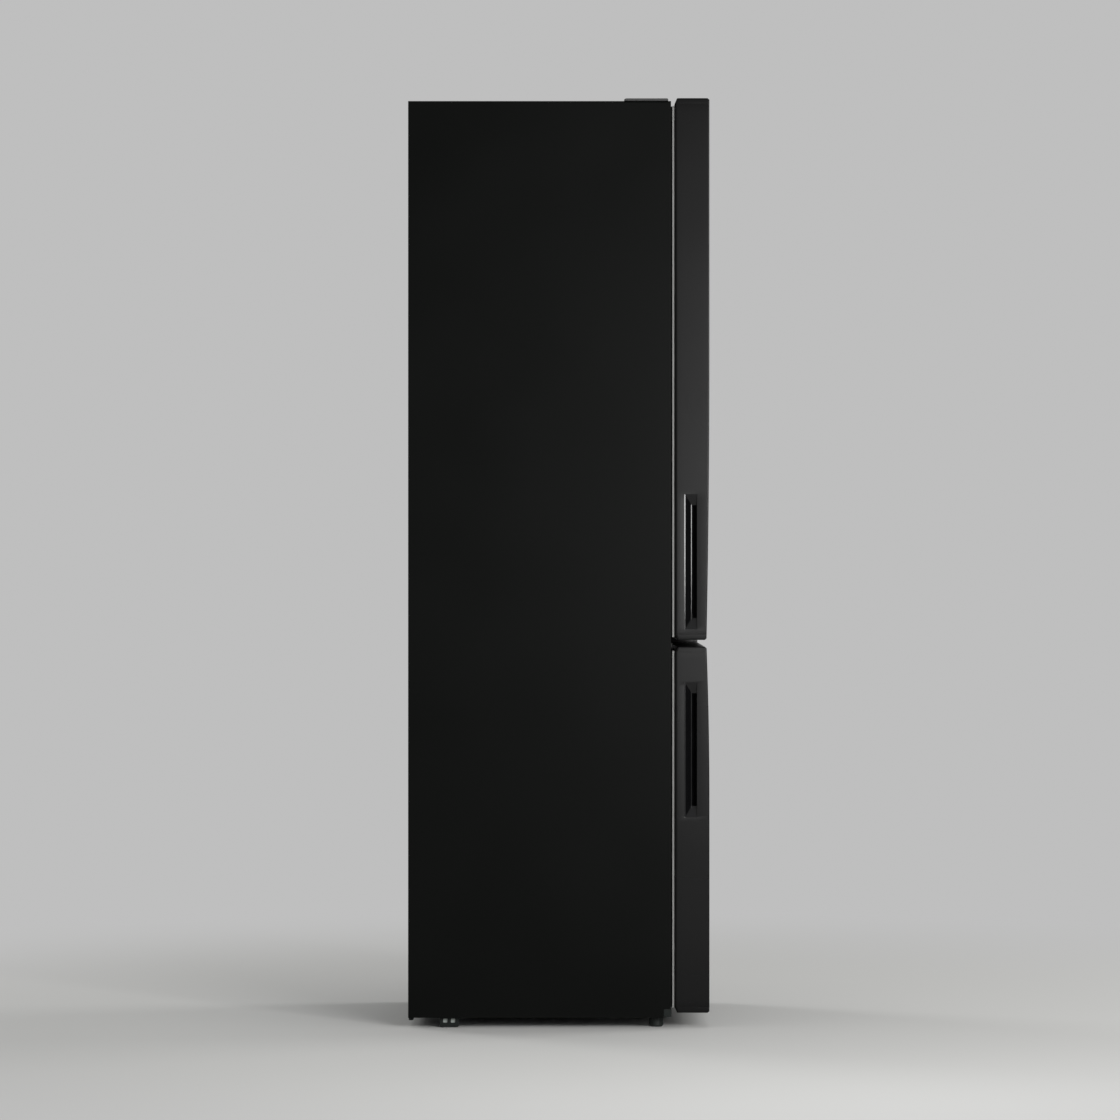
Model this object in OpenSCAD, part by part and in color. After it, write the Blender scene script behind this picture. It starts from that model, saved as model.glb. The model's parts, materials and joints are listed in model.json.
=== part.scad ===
// A tall free-standing fridge freezer: the fridge above, the freezer below, one door each.
// Millimetres. The floor is z = 0, the doors face -Y, the hinges are on the +X side.

/* [Cabinet] */
// Width of the cabinet and of both doors
cab_w = 595; // [560:5:700]
// Depth of the cabinet from its face to its back
cab_d = 574; // [560:2:640]
// Height of the cabinet's top above the floor
cab_top = 2024; // [2000:2:2080]
// Height of the cabinet's underside above the floor
cab_low = 22; // [21:0.5:24]
// Thickness of the steel sheet folded round the cabinet
wrap_t = 0.8; // [0.6:0.1:1.2]
// Radius of the fold between the side and the top
wrap_r = 5; // [3:0.5:10]
// Width of the steel flange round the front
flange_w = 36; // [34:1:38]
// Insulated side wall of the fridge
fridge_wall = 45; // [42:1:50]
// Insulated side wall of the freezer
freezer_wall = 58; // [54:1:64]
// Insulated top wall
top_wall = 40; // [39:1:50]
// Insulated back wall
back_wall = 50; // [44:1:60]
// Insulated floor of the freezer
floor_wall = 48; // [44:1:54]
// Height of the insulated divider between fridge and freezer
divider_h = 80; // [76:1:90]
// Height of the steel rail on the divider's face
mullion_h = 56; // [50:1:60]
// Thickness of the plastic liners
liner_t = 2; // [1.5:0.5:2.5]
// Radius of the liners' long edges
liner_r = 14; // [8:1:20]
// Height of the base rail under the freezer door
rail_h = 17; // [15:0.5:19]
// Depth of the base rail
rail_d = 16; // [12:1:20]
// Height of the cover strip on the cabinet's top
cover_h = 6; // [5.5:0.5:8]
// Depth of the cover strip
cover_d = 96; // [90:1:110]
// Slope on the ends of the cover strip
cover_slope = 4.5; // [2:0.5:5]
// Distance from the cabinet's face to the cover strip
cover_back = 6; // [5:0.5:10]

/* [Doors] */
// Thickness of a door
door_t = 76; // [72:1:84]
// Gap between the cabinet's face and the doors
seal_gap = 8; // [7:0.5:9]
// Gap between the two doors
split_gap = 15; // [14:0.5:18]
// Height of the middle of that gap above the floor
split_z = 839.5; // [830:0.5:850]
// Height of the freezer door's lower end above the floor
door_low = 33; // [32.5:0.5:35]
// How far the door fronts draw back at the gap between them
waist_in = 6.5; // [0:0.5:9]
// Length over which the upper door's front draws back
waist_up = 640; // [300:10:900]
// Length over which the lower door's front draws back
waist_down = 340; // [200:10:500]
// Thickness of the door's steel skin
skin_t = 0.8; // [0.6:0.1:1]
// Radius of the skin's front edges
edge_r = 3; // [2:0.5:5]
// Radius of the skin's rear edges
rear_r = 6; // [3:0.5:8]
// Width of the skin's fold on the door's rear face
lip_w = 14; // [10:1:16]
// Height of the plastic end caps
cap_h = 12; // [10:0.5:14]
// Bevel on the front of the end caps
cap_bevel = 3.5; // [2:0.5:5]
// Slope on the rear of the end caps
cap_slope = 5; // [3:0.5:7]
// Distance from the door's side to the gasket's sealing face
gasket_in = 20; // [18:0.5:22]
// Distance from the door's side to the gasket's outer flange
gasket_flange_in = 8; // [7:0.5:12]
// Thickness of the flange
gasket_flange_t = 4.5; // [3:0.25:5]
// Width of the gasket
gasket_w = 20; // [18:0.5:20]
// Gap left between gasket and cabinet
gasket_gap = 0.4; // [0.3:0.1:0.6]
// How far the fridge door's inner frame stands out
fridge_dyke = 50; // [40:1:54]
// How far the freezer door's inner frame stands out
freezer_dyke = 25; // [20:1:28]
// Width of the inner frame's bars
dyke_w = 20; // [18:0.5:22]
// Gap between the inner frame and the liner's side wall
dyke_gap = 17.5; // [15:0.5:20]

/* [Grips] */
// Length of a grip pocket's mouth
grip_len = 294; // [200:2:330]
// Width of the mouth
grip_w = 25; // [22:0.5:32]
// Distance from the door's rear face to the mouth
grip_back = 23.5; // [18:0.5:24]
// Depth of the sloped rear wall
grip_slope_in = 16; // [12:0.5:20]
// Depth of the fingertip well
grip_deep = 34; // [28:0.5:38]
// How far the well reaches under the front lip
grip_under = 6; // [3:0.5:7]
// Length of the sloped ends
grip_end = 24; // [12:1:30]
// Wall of the pocket insert
grip_t = 2.5; // [2:0.25:3]
// Distance from the upper door's lower end to its pocket
grip_up_from = 24; // [18:1:60]
// Distance from the lower door's upper end to its pocket
grip_down_from = 78; // [50:1:120]

/* [Hinges] */
// Distance from the door's side to the pin's axis
pin_in = 22; // [20:0.5:26]
// Distance from the door's rear face to the pin's axis
pin_fwd = 38; // [36:0.5:42]
// Radius of a hinge pin
pin_r = 5; // [4:0.25:6]
// Length of a pin inside its bush
pin_len = 15; // [12:0.5:18]
// Running clearance round a shaft or pin
run_gap = 0.05; // [0.02:0.01:0.08]
// Wall of a bush
bush_t = 3; // [2.5:0.25:4]
// Width of a hinge arm
arm_w = 20; // [16:0.5:21]
// Thickness of a hinge plate
plate_t = 3; // [2.5:0.25:3.5]
// Thickness of the lower arm
arm_t = 4; // [3:0.25:5]
// Length of the middle arm's wide part, from the cabinet's face
mid_flare_len = 17.5; // [10:0.5:20]
// How much wider that part is
mid_flare = 4; // [2:0.5:4.5]
// Length of a hinge plate along the cabinet's face
plate_w = 96; // [80:1:120]

/* [Inside] */
// Thickness of a shelf's glass
glass_t = 4; // [3:0.5:5]
// Distance from the cabinet's face to the shelves and the crisper
shelf_back = 110; // [106:1:120]
// Height of the crisper's cover above the fridge's floor
crisper_h = 208; // [180:2:240]
// Height between two shelves
shelf_pitch = 200; // [170:2:225]
// Gap between the drawers and the freezer liner's side wall
drawer_in = 14.5; // [13.5:0.5:30]
// Wall of a drawer or bin
tub_t = 2.5; // [2:0.25:3]
// Distance from the cabinet's face to the freezer drawers
drawer_back = 50; // [48:1:60]
// Gap under a sliding drawer
slide_gap = 0.3; // [0.2:0.05:0.5]
// Width of a moulded ledge in the fridge
ledge_w = 8; // [6:0.5:10]
// Height of a moulded ledge
ledge_h = 8; // [6:0.5:10]
// Depth of a door bin
bin_d = 102; // [80:1:102]
// Height of the middle bin above the fridge's floor
mid_bin_up = 420; // [380:10:460]
// Height of the upper bin above the fridge's floor
top_bin_up = 760; // [700:10:820]
// Height of the bottle bin
bottle_bin_h = 110; // [90:1:130]
// Height of the other bins
bin_h = 75; // [60:1:90]
// Width of the air duct on the back wall
duct_w = 170; // [140:2:200]
// Depth of the air duct
duct_d = 22; // [16:1:24]
// Length of the evaporator's tubes
cold_coil_w = 400; // [340:10:410]
// Height of the evaporator
cold_coil_h = 190; // [150:5:200]

/* [Machine compartment] */
// Depth of the compartment
bay_d = 219; // [212:1:230]
// Height of the compartment above the cabinet's underside
bay_h = 228; // [224:1:240]
// Radius of the compressor's shell
comp_r = 70; // [62:1:74]
// Height of the compressor's shell
comp_h = 150; // [140:1:156]
// Width of the condenser
cond_w = 174; // [150:2:176]
// Depth of the condenser
cond_d = 136; // [110:2:140]
// Height of the condenser
cond_h = 150; // [120:5:160]
// Radius of the condenser fan
fan_r = 62; // [54:1:64]
// Radius of the evaporator fan
cold_fan_r = 50; // [42:1:54]
// Number of blades on a fan
blades = 5; // [4:1:7]
// Number of fins on the condenser
fins = 12; // [8:1:16]
// Number of fins on the evaporator
cold_fins = 16; // [10:1:20]
// Thickness of the louvred cover
cover_t = 2.5; // [2:0.25:3]
// Number of louvre rows in the cover
louvre_rows = 10; // [6:1:11]
// Length of one louvre
louvre_w = 66; // [50:1:76]

/* [Feet and rollers] */
// Radius of a levelling foot
foot_r = 16; // [12:0.5:18]
// Distance from the cabinet's face to the feet's axis
foot_back = 31.5; // [30:0.5:40]
// Distance from the cabinet's side to a foot's axis
foot_in = 42; // [36:0.5:60]
// Radius of a foot's stud
stud_r = 5; // [4:0.25:6]
// Number of grip ribs round a foot
foot_ribs = 24; // [12:1:30]
// Radius of a roller
roller_r = 15; // [13:0.25:16]
// Width of a roller
roller_w = 20; // [16:0.5:22]
// Radius of a roller's axle
axle_r = 3; // [2.5:0.25:4]
// Distance from the cabinet's back to the rollers' axle
roller_back = 89.5; // [80:0.5:100]
// Distance from the cabinet's side to a roller's middle
roller_in = 24; // [22:0.5:40]
// Length of a roller's bracket
bracket_d = 41.5; // [38:0.5:50]
// Thickness of a bracket's plates
bracket_t = 2; // [1.5:0.25:2.5]

/* [Hidden] */
$fn = 48;

// Cutting tools reach this far past the face that they open
past = 1;
side = cab_w / 2;
depth = cab_d + seal_gap + door_t;
front_y = -depth / 2;
back_y = depth / 2;
door_back_y = front_y + door_t;
cab_y = door_back_y + seal_gap;
door_top = cab_top + cover_h;
upper_low = split_z + split_gap / 2;
lower_top = split_z - split_gap / 2;

fridge_half = side - fridge_wall;
freezer_half = side - freezer_wall;
flange_half = side - flange_w;
fridge_z = [split_z + divider_h / 2, cab_top - top_wall];
freezer_z = [cab_low + floor_wall, split_z - divider_h / 2];
liner_back_y = back_y - back_wall;
flange_low_z = freezer_z[0] - 12;
mullion_z = [split_z - mullion_h / 2, split_z + mullion_h / 2];
rail_z = [cab_low + 2, cab_low + 2 + rail_h];
rail_y = cab_y - 1;

mullion_d = 12;

sheet_t = 1;
sheet_z = cab_low + wrap_t;
bay_y = back_y - bay_d;
bay_z = cab_low + bay_h;
step_y = bay_y - 40;
step_z = bay_z + 40;

pin_x = side - pin_in;
pin_y = door_back_y - pin_fwd;
bush_hole_r = pin_r + run_gap;
bush_r = bush_hole_r + bush_t;
cap_plug = 17;
recess_z = cab_top - 2.5;
// The bush's flange, and the washer that the middle and lower pins carry it on
bush_flange_t = 1.5;
bush_flange_r = bush_r + 2.5;
washer_r = pin_r + 3.5;

dyke_fridge_x = fridge_half - dyke_gap;
dyke_freezer_x = freezer_half - dyke_gap;

cover_z = fridge_z[0] + crisper_h;
shelf_zs = [for (i = [1:3]) cover_z + i * shelf_pitch];
shelf_y = cab_y + shelf_back;
duct_y = liner_back_y - duct_d;
shelf_end_y = duct_y - 5;

drawer_half = freezer_half - drawer_in;
drawer_pitch = (freezer_z[1] - freezer_z[0]) / 3;
cold_cover_y = liner_back_y - 76;
drawer_y = cab_y + drawer_back;

// Screws: shank, pan head and the clearance of their holes
screw_r = 2.5;
head_r = 4.4;
head_h = 1.2;
screw_gap = 0.1;

bracket_x = side - roller_in;
roller_y = back_y - roller_back;
foot_x = side - foot_in;
foot_y = cab_y + foot_back;
socket_r = 12;
socket_top = sheet_z + 34;

pan_t = 2;
pan_z = sheet_z + pan_t;

// Reusable shapes

// A box between two corners, one pair for each axis
module block(x, y, z) {
    translate([x[0], y[0], z[0]])
        cube([x[1] - x[0], y[1] - y[0], z[1] - z[0]]);
}

// A flat rectangle with round corners
module round_rect(u, v, r) {
    translate([u[0] + r, v[0]])
        square([u[1] - u[0] - 2 * r, v[1] - v[0]]);
    translate([u[0], v[0] + r])
        square([u[1] - u[0], v[1] - v[0] - 2 * r]);
    for (cu = [u[0] + r, u[1] - r], cv = [v[0] + r, v[1] - r])
        translate([cu, cv])
            circle(r);
}

// Carries a drawing of X and Z along Y
module along_y(y) {
    translate([0, y[1], 0])
        rotate([90, 0, 0])
            linear_extrude(y[1] - y[0])
                children();
}

// Carries a drawing of Y and Z along X
module along_x(x) {
    translate([x[0], 0, 0])
        rotate([90, 0, 90])
            linear_extrude(x[1] - x[0])
                children();
}

// Carries a drawing of X and Y upwards
module along_z(z) {
    translate([0, 0, z[0]])
        linear_extrude(z[1] - z[0])
            children();
}

// The same shape on the left and on the right
module both_sides() {
    children();
    mirror([1, 0, 0])
        children();
}

// A round rod between two heights
module rod(r, z) {
    translate([0, 0, z[0]])
        cylinder(r = r, h = z[1] - z[0]);
}

// A round rod across a face that looks along Y, for holes
module drill_y(r) {
    rotate([90, 0, 0])
        cylinder(r = r, h = 20, center = true);
}

// Points on a circular arc about c
function arc(c, r, a, n) =
    [for (i = [0:n]) c + r * [cos(a[0] + (a[1] - a[0]) * i / n), sin(a[0] + (a[1] - a[0]) * i / n)]];

// A solid through a stack of rings that have equally many points
module lofted(rings) {
    n = len(rings[0]);
    top = (len(rings) - 1) * n;
    sides = [
        for (k = [0:len(rings) - 2], i = [0:n - 1])
            [k * n + i, (k + 1) * n + i, (k + 1) * n + (i + 1) % n, k * n + (i + 1) % n]
    ];
    polyhedron(
        [for (ring = rings, p = ring) p],
        concat([[for (i = [0:n - 1]) i]], [[for (i = [n - 1:-1:0]) top + i]], sides)
    );
}

// The doors' outer form

// How far the door front is drawn back at height z
function waist(z) =
    let (up = 1 - (z - split_z) / waist_up, down = 1 - (split_z - z) / waist_down)
    waist_in * pow(max(0, z > split_z ? up : down), 2);

// Heights where the curved front gets a ring of points
waist_steps = 5;
waist_zs = concat(
    [for (i = [waist_steps:-1:1]) split_z - waist_down * i / waist_steps],
    [for (i = [1:waist_steps]) split_z + waist_up * i / waist_steps]
);
function door_zs(z) = concat([z[0]], [for (h = waist_zs) if (h > z[0] + 1 && h < z[1] - 1) h], [z[1]]);

// One level cut through a door, with its front and rear edges rounded
function door_ring(z, x_in, front_in, back_in, r, rear) =
    let (x = side - x_in, f = front_y + waist(z) + front_in, b = door_back_y - back_in)
    [
        for (p = concat(
            arc([r - x, f + r], r, [180, 270], 4),
            arc([x - r, f + r], r, [270, 360], 4),
            arc([x - rear, b - rear], rear, [0, 90], 4),
            arc([rear - x, b - rear], rear, [90, 180], 4)
        )) [p[0], p[1], z]
    ];

// The same ring of points at another height
function raised(ring, dz) = [for (p = ring) p + [0, 0, dz]];

// The door's outer form between two heights, drawn in by e and run on past both ends by over
module door_form(z, e, over = 0) {
    rings = [for (h = door_zs(z)) door_ring(h, e, e, e, edge_r - e, rear_r - e)];
    low = raised(rings[0], -over);
    high = raised(rings[len(rings) - 1], over);
    lofted(over > 0 ? concat([low], rings, [high]) : rings);
}

// A grip pocket, opening to -X; e grows it to the outside of its wall
module grip_form(low, e) {
    back = door_back_y - grip_back;
    inner = back - 14;
    front = back - grip_w;
    well = front - grip_under;
    lip = 8 - e / 3;
    high = low + grip_len;
    intersection() {
        translate([-side, 0, low - 2 * grip_end])
            linear_extrude(grip_len + 4 * grip_end)
                polygon([
                    [-past, back + e],
                    [0, back + e],
                    [grip_slope_in, inner + e],
                    [grip_deep + e, inner + e],
                    [grip_deep + e, well - e],
                    [lip + grip_under, well - e],
                    [lip, front - e],
                    [-past, front - e]
                ]);
        along_y([well - 2 * e - past, back + 2 * e + past])
            translate([-side, 0])
                polygon([
                    [-past, low - e],
                    [0, low - e],
                    [grip_slope_in, low + grip_end - e],
                    [grip_deep + e, low + grip_end - e],
                    [grip_deep + e, high - grip_end + e],
                    [grip_slope_in, high - grip_end + e],
                    [0, high + e],
                    [-past, high + e]
                ]);
    }
}
upper_grip_z = upper_low + grip_up_from;
lower_grip_z = lower_top - grip_down_from - grip_len;

// The block in a door's end that holds the hinge bush
module cap_block(z) {
    block([pin_x - cap_plug, side - skin_t], [pin_y - cap_plug, pin_y + cap_plug], z);
}

module door_skin(z, grip_z) {
    difference() {
        door_form([z[0] + cap_h, z[1] - cap_h], 0);
        door_form([z[0] + cap_h, z[1] - cap_h], skin_t, past);
        block(
            [lip_w - side, side - lip_w],
            [door_back_y - skin_t - past, door_back_y + past],
            z
        );
        grip_form(grip_z, grip_t);
    }
}

// The hollow of the raised frame on a door's inner face
module dyke(x, z, out, e) {
    y = [door_back_y - liner_t - e, door_back_y + out - e];
    low_y = [y[0], door_back_y + min(out, freezer_dyke) - e];
    both_sides()
        block([x - dyke_w + e, x - e], y, [z[0] + e, z[1] - e]);
    for (edge = [z[0] + e, z[1] - dyke_w + e])
        block([e - x, x - e], low_y, [edge, edge + dyke_w - 2 * e]);
}

module door_liner(z, x, frame_z, out) {
    difference() {
        union() {
            block(
                [lip_w - side, side - lip_w],
                [door_back_y - liner_t, door_back_y],
                [z[0] + cap_h, z[1] - cap_h]
            );
            dyke(x, frame_z, out, 0);
        }
        dyke(x, frame_z, out, liner_t);
    }
}

module door_foam(z, grip_z, x, frame_z, out) {
    difference() {
        door_form([z[0] + cap_h, z[1] - cap_h], skin_t);
        block(
            [lip_w - side, side - lip_w],
            [door_back_y - liner_t, door_back_y],
            z
        );
        grip_form(grip_z, grip_t);
        cap_block([z[0] + cap_h - past, z[0] + cap_h + cap_plug]);
        cap_block([z[1] - cap_h - cap_plug, z[1] - cap_h + past]);
    }
    dyke(x, frame_z, out, liner_t);
}

// An end cap: its face is at z, and it reaches into the door against dir
module door_cap(z, dir) {
    steps = dir > 0 ? [cap_h, cap_bevel, 0] : [0, cap_bevel, cap_h];
    inner = z - dir * cap_h;
    difference() {
        union() {
            lofted([
                for (t = steps)
                    let (bevel = max(0, cap_bevel - t))
                    door_ring(z - dir * t, bevel / 3, bevel, cap_slope * (1 - t / cap_h), edge_r, rear_r)
            ]);
            cap_block(dir > 0 ? [inner - cap_plug, inner] : [inner, inner + cap_plug]);
        }
        translate([pin_x, pin_y, 0])
            rod(bush_r, [z - 2 * (cap_h + cap_plug), z + 2 * (cap_h + cap_plug)]);
        children();
    }
}

// A hinge bush with its flange; face is the cap's face that it sits in
module hinge_bush(face, dir) {
    translate([pin_x, pin_y, 0])
        difference() {
            union() {
                rod(bush_r, dir > 0 ? [face - pin_len - 2, face] : [face, face + pin_len + 2]);
                rod(bush_flange_r, dir > 0 ? [face, face + bush_flange_t] : [face - bush_flange_t, face]);
            }
            rod(bush_hole_r, [face - 2 * pin_len, face + 2 * pin_len]);
        }
}

// One frame-shaped layer of a gasket, x out from the middle and w wide
module gasket_layer(x, y, z, w) {
    difference() {
        block([-x, x], y, z);
        block([w - x, x - w], [y[0] - past, y[1] + past], [z[0] + w, z[1] - w]);
    }
}

// A gasket: a flange on the door's rear face, and the sealing face on it
module gasket(z) {
    step = door_back_y + gasket_flange_t;
    inset = gasket_in - gasket_flange_in;
    gasket_layer(side - gasket_flange_in, [door_back_y, step], z, inset + gasket_w - 2);
    gasket_layer(side - gasket_in, [step, cab_y - gasket_gap], z, gasket_w);
}

// The cabinet

// The cabinet's outline seen from the front, drawn in by e
module cabinet_outline(e, low) {
    x = side - e;
    r = wrap_r - e;
    translate([-x, low])
        square([2 * x, cab_top - e - r - low]);
    translate([r - x, cab_top - e - 2 * r])
        square([2 * (x - r), 2 * r]);
    for (cx = [r - x, x - r])
        translate([cx, cab_top - e - r])
            circle(r);
}

// Where the rollers reach up through the cabinet's underside
module roller_slots() {
    both_sides()
        translate([bracket_x, roller_y, 0]) {
            half = [roller_w / 2 + bracket_t, roller_r + 2];
            block([-half[0], half[0]], [-half[1], half[1]], [0, pan_z + past]);
        }
}

// The bores that take the feet's sockets
module socket_bores() {
    both_sides()
        translate([foot_x, foot_y, 0])
            rod(socket_r, [0, socket_top]);
}

// The two screws at the rear of the folded sides
module at_base_screws() {
    both_sides()
        translate([side - 8, back_y - 20.5, 0])
            children();
}

module cabinet_wrapper() color([0.09, 0.1, 0.1]) {
    difference() {
        union() {
            along_y([cab_y, back_y])
                difference() {
                    cabinet_outline(0, cab_low);
                    cabinet_outline(wrap_t, cab_low - past);
                }
            along_y([cab_y, cab_y + wrap_t])
                difference() {
                    cabinet_outline(wrap_t / 2, cab_low);
                    translate([-flange_half, flange_low_z])
                        square([2 * flange_half, cab_top - flange_w - flange_low_z]);
                }
            both_sides()
                block([side - 14, side], [cab_y + rail_d, back_y - 5], [cab_low, sheet_z]);
        }
        block([-side - past, side + past], [cab_y - past, cab_y + rail_d], [cab_low - past, rail_z[1]]);
        roller_slots();
        both_sides()
            translate([foot_x, foot_y, 0])
                rod(stud_r + 1, [0, sheet_z + past]);
        at_base_screws()
            rod(screw_r + screw_gap, [cab_low - past, sheet_z + past]);
    }
}

// The back sheet, with the two holes that the foam was poured through
module rear_panel() color([0.3, 0.31, 0.32]) difference() {
    along_y([back_y - sheet_t, back_y])
        cabinet_outline(wrap_t, bay_z + sheet_t);
    for (z = [700, 1500])
        translate([120, back_y, z])
            drill_y(11);
}

// Space under the sheet that closes the foam's underside
module under_sheet(e, x) {
    along_x(x)
        polygon([
            [cab_y + rail_d, cab_low - past],
            [cab_y + rail_d, sheet_z + e],
            [bay_y - sheet_t + e, sheet_z + e],
            [bay_y - sheet_t + e, bay_z + e],
            [back_y + past, bay_z + e],
            [back_y + past, cab_low - past]
        ]);
}

module bottom_sheet() color([0.55, 0.56, 0.57]) difference() {
    intersection() {
        along_x([wrap_t - side, side - wrap_t])
            polygon([
                [cab_y + rail_d, sheet_z],
                [cab_y + rail_d, sheet_z + sheet_t],
                [bay_y - sheet_t, sheet_z + sheet_t],
                [bay_y - sheet_t, bay_z + sheet_t],
                [back_y, bay_z + sheet_t],
                [back_y, bay_z],
                [bay_y, bay_z],
                [bay_y, sheet_z]
            ]);
        block([-side, side], [cab_y, back_y], [0, cab_top]);
    }
    socket_bores();
}

// The pan that carries the compressor, with its side plates
module base_pan() color([0.5, 0.51, 0.52]) difference() {
    union() {
        block([wrap_t - side, side - wrap_t], [bay_y, back_y - 13], [sheet_z, pan_z]);
        both_sides()
            block([side - wrap_t - pan_t, side - wrap_t], [bay_y, back_y - 3], [sheet_z, bay_z]);
        block([40 - side, side - 40], [bay_y, bay_y + pan_t], [sheet_z, sheet_z + 24]);
    }
    roller_slots();
}

module cabinet_foam() color([0.93, 0.88, 0.68]) difference() {
    along_y([cab_y + wrap_t, back_y - sheet_t])
        cabinet_outline(wrap_t, sheet_z + sheet_t);
    fridge_envelope();
    freezer_envelope();
    under_sheet(sheet_t, [-side, side]);
    block([-flange_half, flange_half], [cab_y, cab_y + mullion_d], mullion_z);
    block([-side, side], [cab_y, cab_y + rail_d], [cab_low, rail_z[1]]);
    socket_bores();
    block([-side, side], [bay_y - past, back_y], [0, bay_z + sheet_t]);
}

// A liner's tunnel from the cabinet's face, grown by e
module tunnel(half, z, end_y, e) {
    along_y([cab_y - past * (1 - e / liner_t), end_y + e])
        round_rect([-half - e, half + e], [z[0] - e, z[1] + e], liner_r + e);
}

module fridge_envelope() {
    tunnel(fridge_half, fridge_z, liner_back_y, liner_t);
    block([-flange_half, flange_half], [cab_y, cab_y + liner_t], [mullion_z[1], cab_top - flange_w]);
}

module freezer_envelope() {
    tunnel(freezer_half, [step_z, freezer_z[1]], liner_back_y, liner_t);
    tunnel(freezer_half, freezer_z, step_y, liner_t);
    block([-flange_half, flange_half], [cab_y, cab_y + liner_t], [flange_low_z, mullion_z[0]]);
}

// Two ledges under a shelf whose underside is at z
module ledges(half, w, y, z) {
    both_sides()
        block([half - w, half + liner_t / 2], y, [z - ledge_h, z]);
}

crisper_z = [fridge_z[0] + 6, cover_z - ledge_h - 6];

module fridge_liner() color([0.94, 0.95, 0.95]) {
    difference() {
        fridge_envelope();
        tunnel(fridge_half, fridge_z, liner_back_y, 0);
    }
    for (z = concat([cover_z], shelf_zs))
        ledges(fridge_half, ledge_w, [shelf_y + 18, shelf_end_y - 14], z);
    both_sides()
        block(
            [drawer_half - 30, drawer_half - 18],
            [shelf_y + 4, shelf_end_y - 20],
            [fridge_z[0] - liner_t / 2, crisper_z[0] - slide_gap]
        );
}

function drawer_z(i) =
    let (low = freezer_z[0] + i * drawer_pitch + 14) [low, low + drawer_pitch - 22];
function drawer_end(i) = i == 0 ? step_y - 10 : cold_cover_y - 10;

module freezer_liner() color([0.93, 0.94, 0.95]) {
    difference() {
        freezer_envelope();
        tunnel(freezer_half, [step_z, freezer_z[1]], liner_back_y, 0);
        tunnel(freezer_half, freezer_z, step_y, 0);
    }
    intersection() {
        freezer_envelope();
        for (i = [0:2])
            ledges(
                freezer_half,
                drawer_in + 9,
                [drawer_y + 6, drawer_end(i)],
                drawer_z(i)[0] - slide_gap
            );
    }
}

// The steel channel across the divider's face
module mullion_rail() color([0.16, 0.17, 0.17]) difference() {
    block([-flange_half, flange_half], [cab_y, cab_y + mullion_d], mullion_z);
    block(
        [-flange_half - past, flange_half + past],
        [cab_y + wrap_t, cab_y + mullion_d + past],
        [mullion_z[0] + wrap_t, mullion_z[1] - wrap_t]
    );
}

// The rail under the freezer, open at the back, closed at its ends
module base_front_rail() color([0.2, 0.22, 0.21]) difference() {
    block([-side, side], [rail_y, cab_y + rail_d], rail_z);
    block([3 - side, side - 3], [rail_y + 2, cab_y + rail_d + past], [rail_z[0] + 2, rail_z[1] - 2]);
}

cover_y = [cab_y + cover_back, cab_y + cover_back + cover_d];

module top_cover() color([0.12, 0.13, 0.13]) difference() {
    intersection() {
        along_x([0.5 - side, side - 0.5])
            polygon([
                [cover_y[0], cab_top],
                [cover_y[0], door_top - 2],
                [cover_y[0] + 2, door_top],
                [cover_y[1] - 4, door_top],
                [cover_y[1], door_top - 2],
                [cover_y[1], cab_top]
            ]);
        along_y([cover_y[0] - past, cover_y[1] + past])
            polygon([
                [0.5 - side, cab_top],
                [0.5 - side, door_top - cover_slope],
                [0.5 - side + cover_slope, door_top],
                [side - 0.5 - cover_slope, door_top],
                [side - 0.5, door_top - cover_slope],
                [side - 0.5, cab_top]
            ]);
    }
    block(
        [cover_slope + 2 - side, side - cover_slope - 2],
        [cover_y[0] + 2, cover_y[1] - 5],
        [cab_top - past, door_top - 1.2]
    );
    block(
        [pin_x - arm_w / 2 - 1, pin_x + arm_w / 2 + 1],
        [cover_y[0] - past, cover_y[0] + 3],
        [cab_top - past, cab_top + plate_t + 0.4]
    );
}

// Hinges: a plate on the cabinet, an arm to the axis and a pin

module arm(y, z) {
    block([pin_x - arm_w / 2, pin_x + arm_w / 2], [pin_y, y], z);
    translate([pin_x, pin_y, 0])
        rod(arm_w / 2 + 1, z);
}

// A hinge plate's span along X, and the places of its three screws
plate_end = side - cover_slope - 3.5;
plate_x = [plate_end - plate_w, plate_end];
screw_xs = [for (k = [0:2]) plate_x[0] + 10 + 24 * k];
top_screw_y = cover_y[0] + 34;

module top_hinge() color([0.62, 0.63, 0.64]) difference() {
    union() {
        block(plate_x, [cover_y[0] + 4, cover_y[0] + 64], [cab_top, cab_top + plate_t]);
        arm(cover_y[0] + 5, [cab_top, cab_top + plate_t]);
        translate([pin_x, pin_y, 0])
            rod(pin_r, [cab_top - 4 - pin_len, cab_top + 1]);
    }
    for (x = screw_xs)
        translate([x, top_screw_y, 0])
            rod(screw_r + screw_gap, [cab_top - past, cab_top + 9]);
}

// The middle arm nearly fills the gap between the doors. It is thinner over the bushes' flanges,
// and wider near its plate
mid_arm_z = [lower_top + bush_flange_t + slide_gap, upper_low - bush_flange_t - slide_gap];
mid_plate_z = [lower_top + 0.9, upper_low - 0.9];
mid_thick_y = pin_y + bush_flange_r + 1;
mid_flare_y = cab_y - mid_flare_len;

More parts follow.
